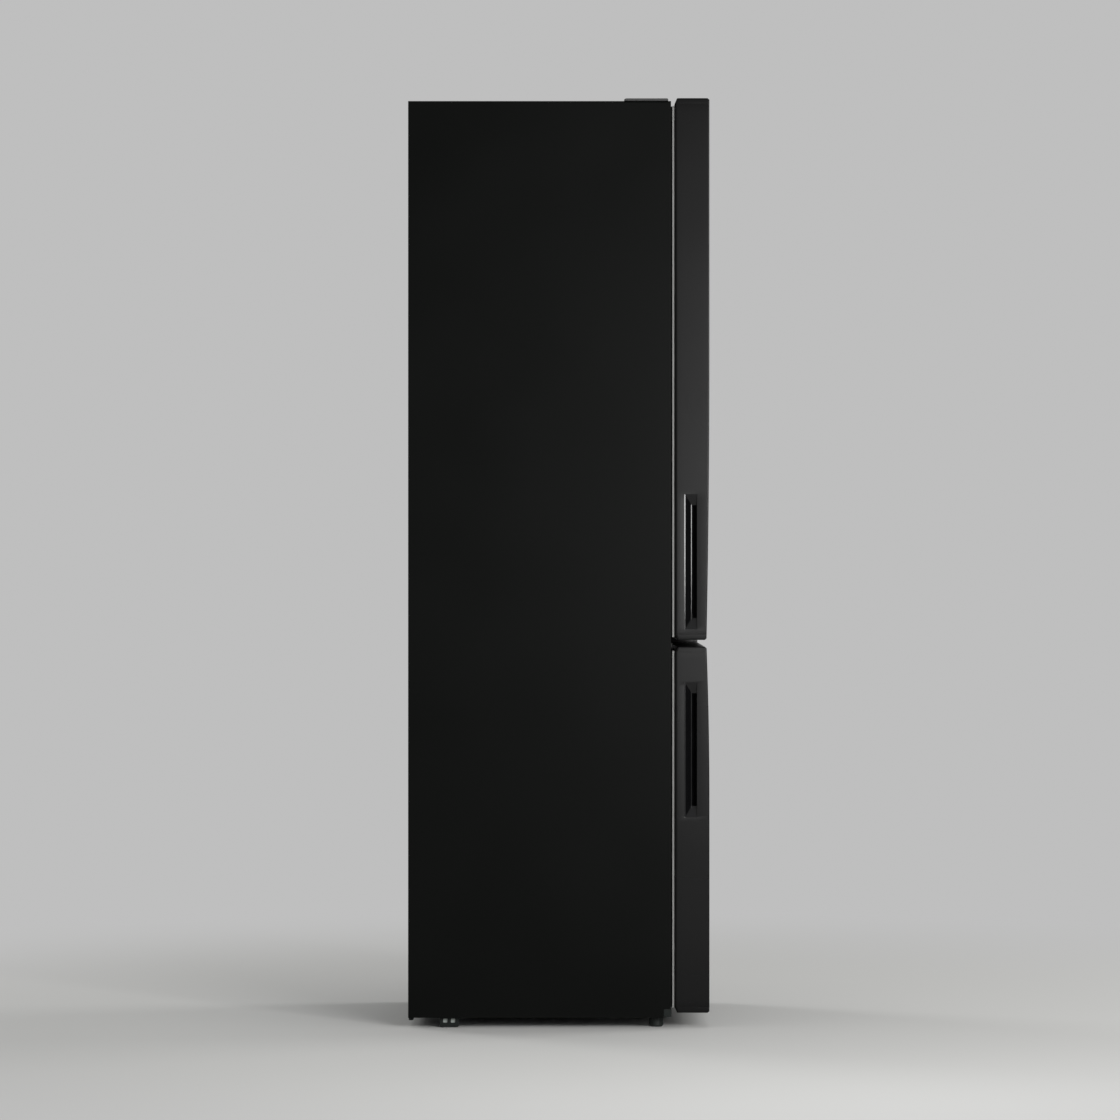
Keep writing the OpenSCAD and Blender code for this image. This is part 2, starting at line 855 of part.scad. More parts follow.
module middle_hinge() color([0.2, 0.2, 0.2]) difference() {
    union() {
        block(plate_x, [cab_y - plate_t, cab_y], mid_plate_z);
        arm(cab_y - plate_t / 2, mid_arm_z);
        block(
            [pin_x - arm_w / 2, pin_x + arm_w / 2],
            [mid_thick_y, cab_y - plate_t / 2],
            mid_plate_z
        );
        along_z(mid_plate_z)
            polygon([
                [pin_x, cab_y - plate_t / 2],
                [pin_x, mid_flare_y - mid_flare],
                [pin_x - arm_w / 2, mid_flare_y - mid_flare],
                [pin_x - arm_w / 2 - mid_flare, mid_flare_y],
                [pin_x - arm_w / 2 - mid_flare, cab_y - plate_t / 2]
            ]);
        translate([pin_x, pin_y, 0])
            rod(pin_r, [lower_top - pin_len, upper_low + pin_len]);
    }
    for (x = screw_xs)
        translate([x, cab_y, split_z])
            drill_y(screw_r + screw_gap);
}

low_plate_z = [rail_z[0] - 2, door_low - 1];
low_arm_z = [low_plate_z[0] + 3.5, low_plate_z[0] + 3.5 + arm_t];
low_screw_z = low_arm_z[0] + arm_t / 2;

module bottom_hinge() color([0.2, 0.2, 0.2]) difference() {
    union() {
        block(plate_x, [rail_y - plate_t, rail_y], low_plate_z);
        arm(rail_y - plate_t / 2, low_arm_z);
        translate([pin_x, pin_y, 0]) {
            rod(pin_r, [low_arm_z[0], door_low + pin_len]);
            rod(washer_r, [low_arm_z[1], door_low - bush_flange_t - slide_gap]);
        }
    }
    for (x = screw_xs)
        translate([x, rail_y, low_screw_z])
            drill_y(screw_r + screw_gap);
}

// A pan-head screw along -Z, its head's underside at z = 0
module screw(shank) {
    rod(head_r, [0, head_h]);
    rod(screw_r, [-shank, 0]);
}

// The screws along the louvred cover's upper and lower edges
module at_cover_screws() {
    for (x = [14 - side, -110, 110, side - 14], z = [cab_low + 22, bay_z - 12])
        translate([x, back_y, z])
            children();
}

module fixing_screws() color([0.7, 0.71, 0.72]) {
    for (x = screw_xs) {
        translate([x, top_screw_y, cab_top + plate_t])
            screw(plate_t);
        translate([x, cab_y - plate_t, split_z])
            rotate([90, 0, 0])
                screw(plate_t);
        translate([x, rail_y - plate_t, low_screw_z])
            rotate([90, 0, 0])
                screw(plate_t);
    }
    at_cover_screws()
        translate([0, -head_h, 0])
            rotate([-90, 0, 0])
                screw(cover_t - screw_gap);
    at_base_screws()
        translate([0, 0, cab_low])
            rotate([180, 0, 0])
                screw(wrap_t - screw_gap);
}

// Fridge interior

shelf_half = fridge_half - 1.5;
trim_d = 13;

module glass_pane(z) {
    block([-shelf_half, shelf_half], [shelf_y + 3, shelf_end_y - 3], [z, z + glass_t]);
}

// The moulded edges that hold a pane, front and rear
module pane_trims(z) {
    difference() {
        union() {
            along_x([-shelf_half, shelf_half])
                round_rect([shelf_y, shelf_y + trim_d], [z - 5, z + glass_t + 5], 2);
            along_x([-shelf_half, shelf_half])
                round_rect([shelf_end_y - trim_d, shelf_end_y], [z - 3, z + glass_t + 9], 2);
        }
        glass_pane(z);
    }
}

module shelf_glass() color([0.8, 0.9, 0.9, 0.5]) {
    for (z = shelf_zs)
        glass_pane(z);
}

module shelf_trims() color([0.85, 0.87, 0.88]) {
    for (z = shelf_zs)
        pane_trims(z);
}

module crisper_cover() color([0.8, 0.88, 0.9]) {
    glass_pane(cover_z);
    pane_trims(cover_z);
}

module fridge_air_duct() color([0.9, 0.91, 0.92]) difference() {
    along_z([cover_z + 24, fridge_z[1] - 4])
        polygon([
            [-duct_w / 2, liner_back_y],
            [10 - duct_w / 2, duct_y],
            [duct_w / 2 - 10, duct_y],
            [duct_w / 2, liner_back_y]
        ]);
    block(
        [12 - duct_w / 2, duct_w / 2 - 12],
        [duct_y + 2.5, liner_back_y + past],
        [cover_z + 27, fridge_z[1] - 7]
    );
    for (z = shelf_zs, x = [-45, 45], k = [0, 1])
        block([x - 24, x + 24], [duct_y - past, duct_y + 4], [z + 60 + 16 * k, z + 66 + 16 * k]);
}

lamp_z = [fridge_z[1] - 18, fridge_z[1]];

module fridge_lamp() color([0.97, 0.97, 0.93]) {
    along_x([-115, 115])
        round_rect([cab_y + 80, cab_y + 118], [lamp_z[0] + 4, lamp_z[1]], 4);
}

module control_panel() color([0.88, 0.89, 0.9]) difference() {
    along_x([-125, 125])
        polygon([
            [cab_y + 20, lamp_z[1]],
            [cab_y + 30, lamp_z[0]],
            [cab_y + 76, lamp_z[0]],
            [cab_y + 76, lamp_z[1]]
        ]);
    for (x = [-60:30:60])
        translate([x, cab_y + 53, lamp_z[0]])
            cylinder(r = 7, h = 1.6, center = true);
}

// Freezer interior

fan_z = freezer_z[1] - 90;
cover_sheet = 3;

// The panel in front of the evaporator, with its fan's opening and two slotted outlets
module freezer_rear_cover() color([0.92, 0.93, 0.94]) difference() {
    union() {
        along_y([cold_cover_y, cold_cover_y + cover_sheet])
            round_rect([-freezer_half, freezer_half], [step_z, freezer_z[1]], liner_r);
        for (x = [-160, 160])
            block([x - 30, x + 30], [cold_cover_y - 4, cold_cover_y], [step_z + 60, freezer_z[1] - 40]);
    }
    translate([0, cold_cover_y, fan_z])
        drill_y(cold_fan_r + 2);
    for (x = [-160, 160], z = [step_z + 100:70:freezer_z[1] - 90])
        block([x - 20, x + 20], [cold_cover_y - 5, cold_cover_y + 5], [z, z + 8]);
}

// A straight tube along X
module tube_x(r, x, y, z) {
    translate([x[0], y, z])
        rotate([0, 90, 0])
            cylinder(r = r, h = x[1] - x[0]);
}

cold_y = [liner_back_y - 64, liner_back_y - 8];
cold_z = [step_z + 40, step_z + 40 + cold_coil_h];
cold_half = cold_coil_w / 2;
cold_rows = 5;

module evaporator() color([0.8, 0.81, 0.82]) {
    fin_x = cold_half - 10;
    row_pitch = (cold_coil_h - 40) / (cold_rows - 1);
    for (i = [0:cold_fins - 1])
        translate([fin_x * (2 * i / (cold_fins - 1) - 1), 0, 0])
            block([-0.5, 0.5], cold_y, cold_z);
    for (y = [cold_y[0] + 14, cold_y[1] - 14], k = [0:cold_rows - 1])
        tube_x(4, [-cold_half, cold_half], y, cold_z[0] + 20 + k * row_pitch);
    both_sides()
        block([cold_half - 4, cold_half - 1], [cold_y[0], liner_back_y], [cold_z[0] + 4, cold_z[1] - 4]);
}

// Sizes that both fans share
shaft_r = 2.5;
hub_half = 8;
blade_pitch = 32;
blade_w = 26;
blade_t = 1.8;
// Clearance between the blades' tips and their ring
tip_gap = 4;

// A fan with its shaft along +Z; pitched blades cut to a round tip
module axial_fan(tip_r, hub_r, shaft_l) {
    rod(hub_r, [-hub_half, hub_half]);
    rod(shaft_r, [hub_half, hub_half + shaft_l]);
    intersection() {
        union()
            for (i = [0:blades - 1])
                rotate([0, 0, 360 * i / blades])
                    translate([hub_r - 3, 0, 0])
                        rotate([blade_pitch, 0, 0])
                            translate([0, -blade_w / 2, -blade_t / 2])
                                cube([tip_r, blade_w, blade_t]);
        rod(tip_r, [-blade_w, blade_w]);
    }
}

// A fan motor behind the fan, its ring round the blades and three struts
module fan_mount(tip_r, motor_r, motor_l, ring_t) {
    motor_z = hub_half + 2;
    ring_z = [-motor_z, motor_z + 6];
    ring_r = tip_r + tip_gap;
    difference() {
        rod(motor_r, [motor_z, motor_z + motor_l]);
        rod(shaft_r + run_gap, [motor_z - past, motor_z + motor_l - 6]);
    }
    difference() {
        rod(ring_r + ring_t, ring_z);
        rod(ring_r, [ring_z[0] - past, ring_z[1] + past]);
    }
    for (a = [90, 210, 330])
        rotate([0, 0, a])
            block([motor_r - 1, ring_r + ring_t / 2], [-4, 4], [ring_z[1] - 5, ring_z[1]]);
}

cold_fan_y = cold_cover_y + cover_sheet + 10;

module evaporator_fan_motor() color([0.25, 0.26, 0.27])
    translate([0, cold_fan_y, fan_z])
        rotate([-90, 0, 0])
            fan_mount(cold_fan_r, 16, 26, 2);

module evaporator_fan() color([0.2, 0.21, 0.22])
    translate([0, cold_fan_y, fan_z])
        rotate([-90, 0, 0])
            axial_fan(cold_fan_r, 13, 16);

// Machine compartment

comp_x = side - comp_r - 77.5;
comp_y = bay_y + comp_r + 35;
mount_h = 14;
// Radius of a rubber mount's neck, in the foot plate's hole
neck_r = 5;
foot_plate_t = 3;
comp_z = pan_z + mount_h;

// A ring of four mounting points round the compressor
module at_mounts() {
    for (dx = [-1, 1] * (comp_r + 2), dy = [-1, 1] * (comp_r - 18))
        translate([comp_x + dx, comp_y + dy, 0])
            children();
}

module compressor() color([0.08, 0.08, 0.08]) {
    translate([comp_x, comp_y, comp_z]) {
        rotate_extrude()
            intersection() {
                round_rect([-comp_r, comp_r], [0, comp_h], comp_r * 0.55);
                translate([0, -past])
                    square([comp_r + past, comp_h + 2 * past]);
            }
        rod(comp_r + 3, [comp_h * 0.55, comp_h * 0.55 + 5]);
        block([comp_r - 8, comp_r + 22], [-24, 24], [60, 104]);
    }
    difference() {
        translate([comp_x, comp_y, 0])
            block([-1, 1] * (comp_r + 14), [-1, 1] * (comp_r - 6), [comp_z, comp_z + foot_plate_t]);
        at_mounts()
            rod(neck_r, [comp_z - past, comp_z + foot_plate_t + past]);
    }
}

module compressor_mounts() color([0.13, 0.13, 0.13]) {
    at_mounts() {
        rod(neck_r + 6, [pan_z, comp_z]);
        rod(neck_r, [comp_z, comp_z + foot_plate_t]);
        rod(neck_r + 3, [comp_z + foot_plate_t, comp_z + foot_plate_t + 4]);
    }
}

cond_x = [61.5 - side, 61.5 - side + cond_w];
cond_y = [bay_y + 40, bay_y + 40 + cond_d];
cond_z = [pan_z, pan_z + cond_h];
cond_rows = 4;
cond_pitch = (cond_h - 60) / (cond_rows - 1);
cond_tube_r = 3.5;
// The straight tubes' ends, and the two planes that they lie in
cond_end_x = [cond_x[0] - 6, cond_x[1] + 6];
cond_tube_y = [cond_y[0] + 22, cond_y[1] - 22];
function cond_row(k) = cond_z[0] + 36 + k * cond_pitch;

// A half-round bend between two tubes at x, turning towards dir
module return_bend(x, y, z, dir) {
    translate([x, y, z])
        rotate([0, 0, dir > 0 ? 0 : 180])
            rotate([90, 0, 0])
                rotate([0, 0, -90])
                    rotate_extrude(angle = 180)
                        translate([cond_pitch / 2, 0])
                            circle(cond_tube_r);
}

module condenser() color([0.12, 0.12, 0.12]) {
    for (i = [0:fins - 1])
        translate([cond_x[0] + 8 + (cond_x[1] - cond_x[0] - 16) * i / (fins - 1), 0, 0])
            block([-0.5, 0.5], cond_y, [cond_z[0] + 14, cond_z[1]]);
    for (x = cond_x)
        block([x - 1, x + 1], cond_y, cond_z);
    for (y = cond_tube_y) {
        for (k = [0:cond_rows - 1])
            tube_x(cond_tube_r, cond_end_x, y, cond_row(k));
        for (k = [0:cond_rows - 2]) {
            right = k % 2 == 0;
            return_bend(cond_end_x[right ? 1 : 0], y, cond_row(k) + cond_pitch / 2, right ? 1 : -1);
        }
    }
}

fan_x = cond_x[1] + 44;
fan_y = (cond_y[0] + cond_y[1]) / 2;
hot_fan_z = pan_z + fan_r + 20;

module condenser_fan_motor() color([0.15, 0.15, 0.16]) {
    translate([fan_x, fan_y, hot_fan_z])
        rotate([0, 90, 0])
            fan_mount(fan_r, 18, 28, 2.5);
    difference() {
        block(
            [fan_x - 11, fan_x - 8],
            [fan_y - fan_r - 22, fan_y + fan_r + 22],
            [pan_z, pan_z + 2 * fan_r + 36]
        );
        translate([fan_x, fan_y, hot_fan_z])
            rotate([0, 90, 0])
                cylinder(r = fan_r + tip_gap, h = 40, center = true);
    }
}

module condenser_fan() color([0.2, 0.2, 0.22])
    translate([fan_x, fan_y, hot_fan_z])
        rotate([0, 90, 0])
            axial_fan(fan_r, 15, 18);

tray_z = comp_z + comp_h;
tray_half = [comp_r + 22, comp_r + 2];
tray_t = 2;
tray_h = 26;
tray_r = 14;

module tray_outline(e) {
    x = tray_half[0] - e;
    y = tray_half[1] - e;
    round_rect([-x, x], [-y, y], tray_r - e);
}

// The tray over the compressor, where the defrost water evaporates
module drain_tray() color([0.82, 0.83, 0.82]) translate([comp_x, comp_y, 0]) difference() {
    along_z([tray_z, tray_z + tray_h])
        tray_outline(0);
    along_z([tray_z + tray_t, tray_z + tray_h + past])
        tray_outline(tray_t);
}

inlet_x = 47.5 - side;
inlet_z = pan_z + 60;
inlet_r = 9;
// Radius of the cover's rolled lower lip
lip_r = 3.5;

module compressor_cover() color([0.14, 0.15, 0.15]) difference() {
    union() {
        block([3.5 - side, side - 3.5], [back_y - cover_t - head_h, back_y - head_h], [cab_low - 4, bay_z]);
        along_x([20 - side, side - 20]) {
            translate([back_y - 8, cab_low - lip_r])
                circle(lip_r);
            translate([back_y - 8, cab_low - 2 * lip_r])
                square([8 - head_h, 3]);
            translate([back_y - cover_t - head_h, cab_low - 2 * lip_r])
                square([cover_t, 8]);
        }
    }
    for (x = [-170, -56, 56, 170], k = [0:louvre_rows - 1])
        translate([x, 0, cab_low + 36 + k * 17])
            along_y([back_y - 8, back_y + past])
                round_rect([-louvre_w / 2, louvre_w / 2], [0, 7], 3);
    at_cover_screws()
        drill_y(screw_r + screw_gap);
    translate([inlet_x, back_y, inlet_z])
        drill_y(inlet_r);
}

// The bush where the mains lead would enter
module power_inlet() color([0.1, 0.1, 0.1])
    translate([inlet_x, back_y - head_h, inlet_z])
        rotate([90, 0, 0])
            difference() {
                union() {
                    rod(inlet_r, [0, cover_t]);
                    rod(inlet_r + 3, [cover_t, cover_t + 14]);
                }
                rod(4, [-past, cover_t + 15]);
            }

// A quarter bend at corner c, coming in along u and leaving along v
module elbow(c, u, v, r, bend_r) {
    w = cross(u, v);
    centre = c - bend_r * u + bend_r * v;
    multmatrix([
        [-v[0], u[0], w[0], centre[0]],
        [-v[1], u[1], w[1], centre[1]],
        [-v[2], u[2], w[2], centre[2]],
        [0, 0, 0, 1]
    ])
        rotate_extrude(angle = 90)
            translate([bend_r, 0])
                circle(r);
}

function unit(v) = v / norm(v);

// A round tube through corner points, bent to bend_r at each corner
module piping(points, r, bend_r) {
    last = len(points) - 1;
    for (i = [0:last - 1]) {
        u = unit(points[i + 1] - points[i]);
        a = points[i] + (i == 0 ? 0 : bend_r) * u;
        b = points[i + 1] - (i == last - 1 ? 0 : bend_r) * u;
        translate(a)
            rotate([0, acos(u[2]), atan2(u[1], u[0])])
                cylinder(r = r, h = norm(b - a));
    }
    for (i = [1:last - 1])
        elbow(points[i], unit(points[i] - points[i - 1]), unit(points[i + 1] - points[i]), r, bend_r);
}

line_r = 3;
suction_r = 4;
capillary_r = 1.5;
drier_r = 9;
tube_bend = 10;
// Room between the shell and the end of a tube, for the brazing
shell_gap = 0.2;

// The hot line, the suction line, and the line with the drier and the capillary tube
module refrigerant_tubes() color([0.72, 0.42, 0.25]) {
    hot_z = comp_z + 45;
    suction_z = hot_z + 30;
    suction_x = comp_x + 40;
    suction_y = comp_y + comp_r + 10;
    shell_y = comp_y + sqrt(pow(comp_r, 2) - pow(suction_x - comp_x - suction_r, 2));
    out_x = cond_x[0] - 40;
    drier_z = cond_row(0) + 30;
    cone_h = 10;
    drier_h = 70;
    piping(
        [
            [comp_x, comp_y - comp_r - shell_gap, hot_z],
            [comp_x, bay_y + 12, hot_z],
            [out_x, bay_y + 12, hot_z],
            [out_x, cond_tube_y[0], hot_z],
            [out_x, cond_tube_y[0], cond_row(0)],
            [cond_end_x[0], cond_tube_y[0], cond_row(0)]
        ],
        line_r,
        tube_bend
    );
    piping(
        [
            [suction_x, shell_y + shell_gap, suction_z],
            [suction_x, suction_y, suction_z],
            [side - 30, suction_y, suction_z],
            [side - 30, suction_y, bay_z]
        ],
        suction_r,
        tube_bend
    );
    piping(
        [
            [cond_end_x[0], cond_tube_y[1], cond_row(0)],
            [out_x, cond_tube_y[1], cond_row(0)],
            [out_x, cond_tube_y[1], drier_z]
        ],
        line_r,
        tube_bend
    );
    translate([out_x, cond_tube_y[1], drier_z]) {
        cylinder(r1 = line_r, r2 = drier_r, h = cone_h);
        rod(drier_r, [cone_h, cone_h + drier_h]);
        translate([0, 0, cone_h + drier_h])
            cylinder(r1 = drier_r, r2 = capillary_r, h = cone_h);
        rod(capillary_r, [2 * cone_h + drier_h, bay_z - drier_z]);
    }
}

// Feet and rollers

module foot_sockets() color([0.6, 0.6, 0.6]) {
    both_sides()
        translate([foot_x, foot_y, 0])
            difference() {
                rod(socket_r, [sheet_z, socket_top]);
                rod(stud_r + run_gap, [0, socket_top - 3]);
            }
}

// A foot: a ribbed knob with a bevelled sole, moulded on its stud
module front_foot() {
    top = cab_low - slide_gap;
    translate([0, foot_y, 0]) {
        rotate_extrude()
            polygon([[0, 0], [foot_r - 3, 0], [foot_r - 1, 3], [foot_r - 1, top], [0, top]]);
        for (i = [0:foot_ribs - 1])
            rotate([0, 0, 360 * i / foot_ribs])
                block([foot_r - 2, foot_r], [-0.9, 0.9], [4, top - 1]);
        rod(stud_r, [top - 1, socket_top - 6]);
    }
}

module front_foot_left() color([0.2, 0.22, 0.21])
    translate([-foot_x, 0, 0])
        front_foot();

module front_foot_right() color([0.2, 0.22, 0.21])
    translate([foot_x, 0, 0])
        front_foot();

// A pressed bracket, windowed on both sides of the axle that it carries
module roller_bracket() {
    half = roller_w / 2 + 1;
    out = half + bracket_t;
    plate_y = [-bracket_d / 2, bracket_d / 2];
    plate_z = [1.5, cab_low];
    window_y = [axle_r + 0.5, bracket_d / 2 - 7.5];
    window_z = [10.5, cab_low - bracket_t - 0.5];
    translate([bracket_x, roller_y, 0]) {
        difference() {
            union() {
                for (x = [-out, half])
                    along_x([x, x + bracket_t])
                        round_rect(plate_y, plate_z, 2.5);
                block([-out, out], plate_y, [cab_low - bracket_t, cab_low]);
            }
            block([-half, half], [-roller_r - 1, roller_r + 1], [0, cab_low + past]);
            for (y = [window_y, [-window_y[1], -window_y[0]]])
                along_x([-out - past, out + past])
                    round_rect(y, window_z, 1.5);
        }
        tube_x(axle_r, [-out - 0.5, out + 0.5], 0, roller_r);
    }
}

module roller_brackets() color([0.22, 0.24, 0.23])
    both_sides()
        roller_bracket();

module rear_roller() {
    translate([bracket_x, roller_y, roller_r])
        rotate([0, 90, 0])
            difference() {
                union() {
                    rod(roller_r, [-roller_w / 2, -2]);
                    rod(roller_r, [2, roller_w / 2]);
                    rod(roller_r - 2, [-2, 2]);
                }
                rod(axle_r + run_gap, [-roller_w, roller_w]);
            }
}

module rear_roller_left() color([0.6, 0.62, 0.6])
    mirror([1, 0, 0])
        rear_roller();

module rear_roller_right() color([0.6, 0.62, 0.6])
    rear_roller();

// The doors

upper = [upper_low, door_top];
lower = [door_low, lower_top];
fridge_frame_z = [fridge_z[0] + 12, fridge_z[1] - 12];
freezer_frame_z = [freezer_z[0] + 12, freezer_z[1] - 12];

bin_half = dyke_fridge_x - dyke_w - 8.5;
bin_low = [fridge_frame_z[0] + dyke_w + 10, fridge_z[0] + mid_bin_up, fridge_z[0] + top_bin_up];
lug_y = [door_back_y + 14, door_back_y + 34];
lug_z = 20;
lug_h = 30;

// The lugs on the frame's inner faces that a bin hooks over
module bin_lugs(z) {
    both_sides()
        block([bin_half + 0.5, dyke_fridge_x - dyke_w + 1], lug_y, [z + lug_z, z + lug_z + lug_h]);
}

module fridge_door_skin() color([0.2, 0.2, 0.21])
    door_skin(upper, upper_grip_z);

module fridge_door_foam() color([0.93, 0.88, 0.68])
    door_foam(upper, upper_grip_z, dyke_fridge_x, fridge_frame_z, fridge_dyke);

module fridge_door_liner() color([0.94, 0.95, 0.95]) {
    door_liner(upper, dyke_fridge_x, fridge_frame_z, fridge_dyke);
    for (z = bin_low)
        bin_lugs(z);
}

// The hinge arm's recess lets the door swing past the fixed arm
module arm_recess() {
    block(
        [pin_x - arm_w / 2 - 3, side + past],
        [pin_y - arm_w / 2 - 17, door_back_y + past],
        [recess_z, door_top + past]
    );
}

module fridge_door_caps() color([0.14, 0.14, 0.15]) {
    door_cap(upper[1], 1)
        arm_recess();
    door_cap(upper[0], -1);
}

module fridge_door_gasket() color([0.6, 0.6, 0.6])
    gasket([split_z + 13.5, cab_top - 10]);

module fridge_door_grip() color([0.05, 0.05, 0.06])
    door_grip(upper_grip_z);

module fridge_door_bushes() color([0.85, 0.85, 0.82]) {
    translate([pin_x, pin_y, 0])
        difference() {
            rod(bush_r, [recess_z - pin_len - 3, recess_z]);
            rod(bush_hole_r, [recess_z - 2 * pin_len, recess_z + past]);
        }
    hinge_bush(upper[0], -1);
}

module door_grip(low) {
    difference() {
        grip_form(low, grip_t);
        grip_form(low, 0);
        block([-side - 2 * past, -side], [front_y, door_back_y], [0, door_top]);
    }
}

module freezer_door_skin() color([0.2, 0.2, 0.21])
    door_skin(lower, lower_grip_z);

module freezer_door_foam() color([0.93, 0.88, 0.68])
    door_foam(lower, lower_grip_z, dyke_freezer_x, freezer_frame_z, freezer_dyke);

module freezer_door_liner() color([0.94, 0.95, 0.95])
    door_liner(lower, dyke_freezer_x, freezer_frame_z, freezer_dyke);

module freezer_door_caps() color([0.14, 0.14, 0.15]) {
    door_cap(lower[1], 1);
    door_cap(lower[0], -1);
}

module freezer_door_gasket() color([0.6, 0.6, 0.6])
    gasket([door_low + 10, split_z - 16.5]);

module freezer_door_grip() color([0.05, 0.05, 0.06])
    door_grip(lower_grip_z);

module freezer_door_bushes() color([0.85, 0.85, 0.82]) {
    hinge_bush(lower[1], 1);
    hinge_bush(lower[0], -1);
}

// Bins and drawers

// An open tub with round upright edges
module tub(x, y, z, r) {
    difference() {
        along_z(z)
            round_rect(x, y, r);
        along_z([z[0] + tub_t, z[1] + past])
            round_rect([x[0] + tub_t, x[1] - tub_t], [y[0] + tub_t, y[1] - tub_t], r - tub_t);
    }
}

// A door bin: a tub with a hook on each side, open below for its lug
module door_bin(z, h) {
    hook_t = 5;
    tub([-bin_half, bin_half], [door_back_y + slide_gap, door_back_y + bin_d], [z, z + h], 14);
    both_sides()
        difference() {
            block(
                [bin_half - tub_t / 2, dyke_fridge_x - dyke_w - 0.5],
                [lug_y[0] - hook_t, lug_y[1] + hook_t],
                [z + lug_z + 4, z + lug_z + lug_h + 8]
            );
            block(
                [bin_half, dyke_fridge_x],
                [lug_y[0] - slide_gap, lug_y[1] + slide_gap],
                [z, z + lug_z + lug_h + slide_gap]
            );
        }
}

module door_bin_upper() color([0.85, 0.9, 0.92, 0.6])
    door_bin(bin_low[2], bin_h);

module door_bin_middle() color([0.85, 0.9, 0.92, 0.6])
    door_bin(bin_low[1], bin_h);

module door_bin_lower() color([0.85, 0.9, 0.92, 0.6])
    door_bin(bin_low[0], bottle_bin_h);

// A drawer: a tub with a taller front that has a finger slot
module drawer(y, z, drop, slot_z) {
    difference() {
        union() {
            tub([-drawer_half, drawer_half], [y[0] + 3, y[1]], [z[0], z[1] - drop], 10);
            along_z(z)
                round_rect([-drawer_half, drawer_half], [y[0], y[0] + 6], 2.5);
        }
        translate([0, 0, slot_z])
            along_y([y[0] - past, y[0] + 12])
                round_rect([-70, 70], [0, 24], 10);
    }
}

module crisper_drawer() color([0.86, 0.92, 0.94, 0.6])
    drawer([shelf_y, shelf_end_y - 6], crisper_z, 12, crisper_z[1] - 42);

module freezer_drawer(i)
    drawer([drawer_y, drawer_end(i)], drawer_z(i), 20, drawer_z(i)[1] - 60);

module freezer_drawer_upper() color([0.84, 0.9, 0.94, 0.6])
    freezer_drawer(2);

module freezer_drawer_middle() color([0.84, 0.9, 0.94, 0.6])
    freezer_drawer(1);

module freezer_drawer_lower() color([0.84, 0.9, 0.94, 0.6])
    freezer_drawer(0);

cabinet_wrapper();
rear_panel();
bottom_sheet();
base_pan();
cabinet_foam();
fridge_liner();
freezer_liner();
mullion_rail();
base_front_rail();
top_cover();
top_hinge();
middle_hinge();
bottom_hinge();
fixing_screws();
shelf_glass();
shelf_trims();
crisper_cover();
fridge_air_duct();
fridge_lamp();
control_panel();
freezer_rear_cover();
evaporator();
evaporator_fan_motor();
evaporator_fan();
compressor();
compressor_mounts();
condenser();
condenser_fan_motor();
condenser_fan();
drain_tray();
compressor_cover();
power_inlet();
refrigerant_tubes();
foot_sockets();
roller_brackets();
fridge_door_skin();
fridge_door_foam();
fridge_door_liner();
fridge_door_caps();
fridge_door_gasket();
fridge_door_grip();
fridge_door_bushes();
freezer_door_skin();
freezer_door_foam();
freezer_door_liner();
freezer_door_caps();
freezer_door_gasket();
freezer_door_grip();
freezer_door_bushes();
door_bin_upper();
door_bin_middle();
door_bin_lower();
crisper_drawer();
freezer_drawer_upper();
freezer_drawer_middle();
freezer_drawer_lower();
front_foot_left();
front_foot_right();
rear_roller_left();
rear_roller_right();
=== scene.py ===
# %% [markdown]
# # A tall fridge freezer, dressed for the studio
#
# The object is a free-standing fridge freezer: a folded steel cabinet with two foamed doors,
# recessed grips in the doors' sides, a louvred machine compartment at the rear, and feet and
# rollers below. Its solids come packed from the CAD model and set every size. This lesson adds
# what the CAD can't carry: the soft radii of pressed sheet, the true profile of a door seal, the
# heads of screws, and a finish for each material.
#
# We start by loading the solids and keeping their box, so that what we add can be measured against
# it.

# %% Load the frame
import json
import math

import bmesh
import bpy
import numpy as np
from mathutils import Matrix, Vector


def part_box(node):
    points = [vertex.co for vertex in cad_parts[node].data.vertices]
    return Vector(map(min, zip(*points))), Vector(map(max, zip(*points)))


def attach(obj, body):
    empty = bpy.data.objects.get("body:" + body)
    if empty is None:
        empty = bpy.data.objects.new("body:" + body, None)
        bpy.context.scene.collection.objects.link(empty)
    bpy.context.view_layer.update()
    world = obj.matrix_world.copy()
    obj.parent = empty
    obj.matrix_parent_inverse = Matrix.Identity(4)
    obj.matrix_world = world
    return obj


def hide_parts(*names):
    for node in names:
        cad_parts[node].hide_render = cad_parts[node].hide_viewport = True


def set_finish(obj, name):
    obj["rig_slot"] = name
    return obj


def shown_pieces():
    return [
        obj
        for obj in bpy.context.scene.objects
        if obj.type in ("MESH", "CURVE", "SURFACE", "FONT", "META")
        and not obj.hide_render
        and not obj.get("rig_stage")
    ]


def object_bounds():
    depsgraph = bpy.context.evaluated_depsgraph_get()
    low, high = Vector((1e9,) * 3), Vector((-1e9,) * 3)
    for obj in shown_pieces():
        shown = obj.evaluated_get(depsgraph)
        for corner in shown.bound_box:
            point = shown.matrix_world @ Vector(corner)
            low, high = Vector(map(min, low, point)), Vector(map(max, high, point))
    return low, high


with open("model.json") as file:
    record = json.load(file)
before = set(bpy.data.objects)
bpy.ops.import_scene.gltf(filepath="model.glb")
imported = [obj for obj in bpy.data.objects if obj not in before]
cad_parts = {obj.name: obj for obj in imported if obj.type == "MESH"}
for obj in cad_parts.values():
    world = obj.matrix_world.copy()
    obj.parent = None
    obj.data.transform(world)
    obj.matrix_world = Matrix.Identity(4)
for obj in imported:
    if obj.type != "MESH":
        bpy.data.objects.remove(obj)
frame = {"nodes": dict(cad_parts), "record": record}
cad_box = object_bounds()
nodes = frame["nodes"]
MM = 0.001
print("CAD box in metres:", [round(b - a, 4) for a, b in zip(*cad_box)])


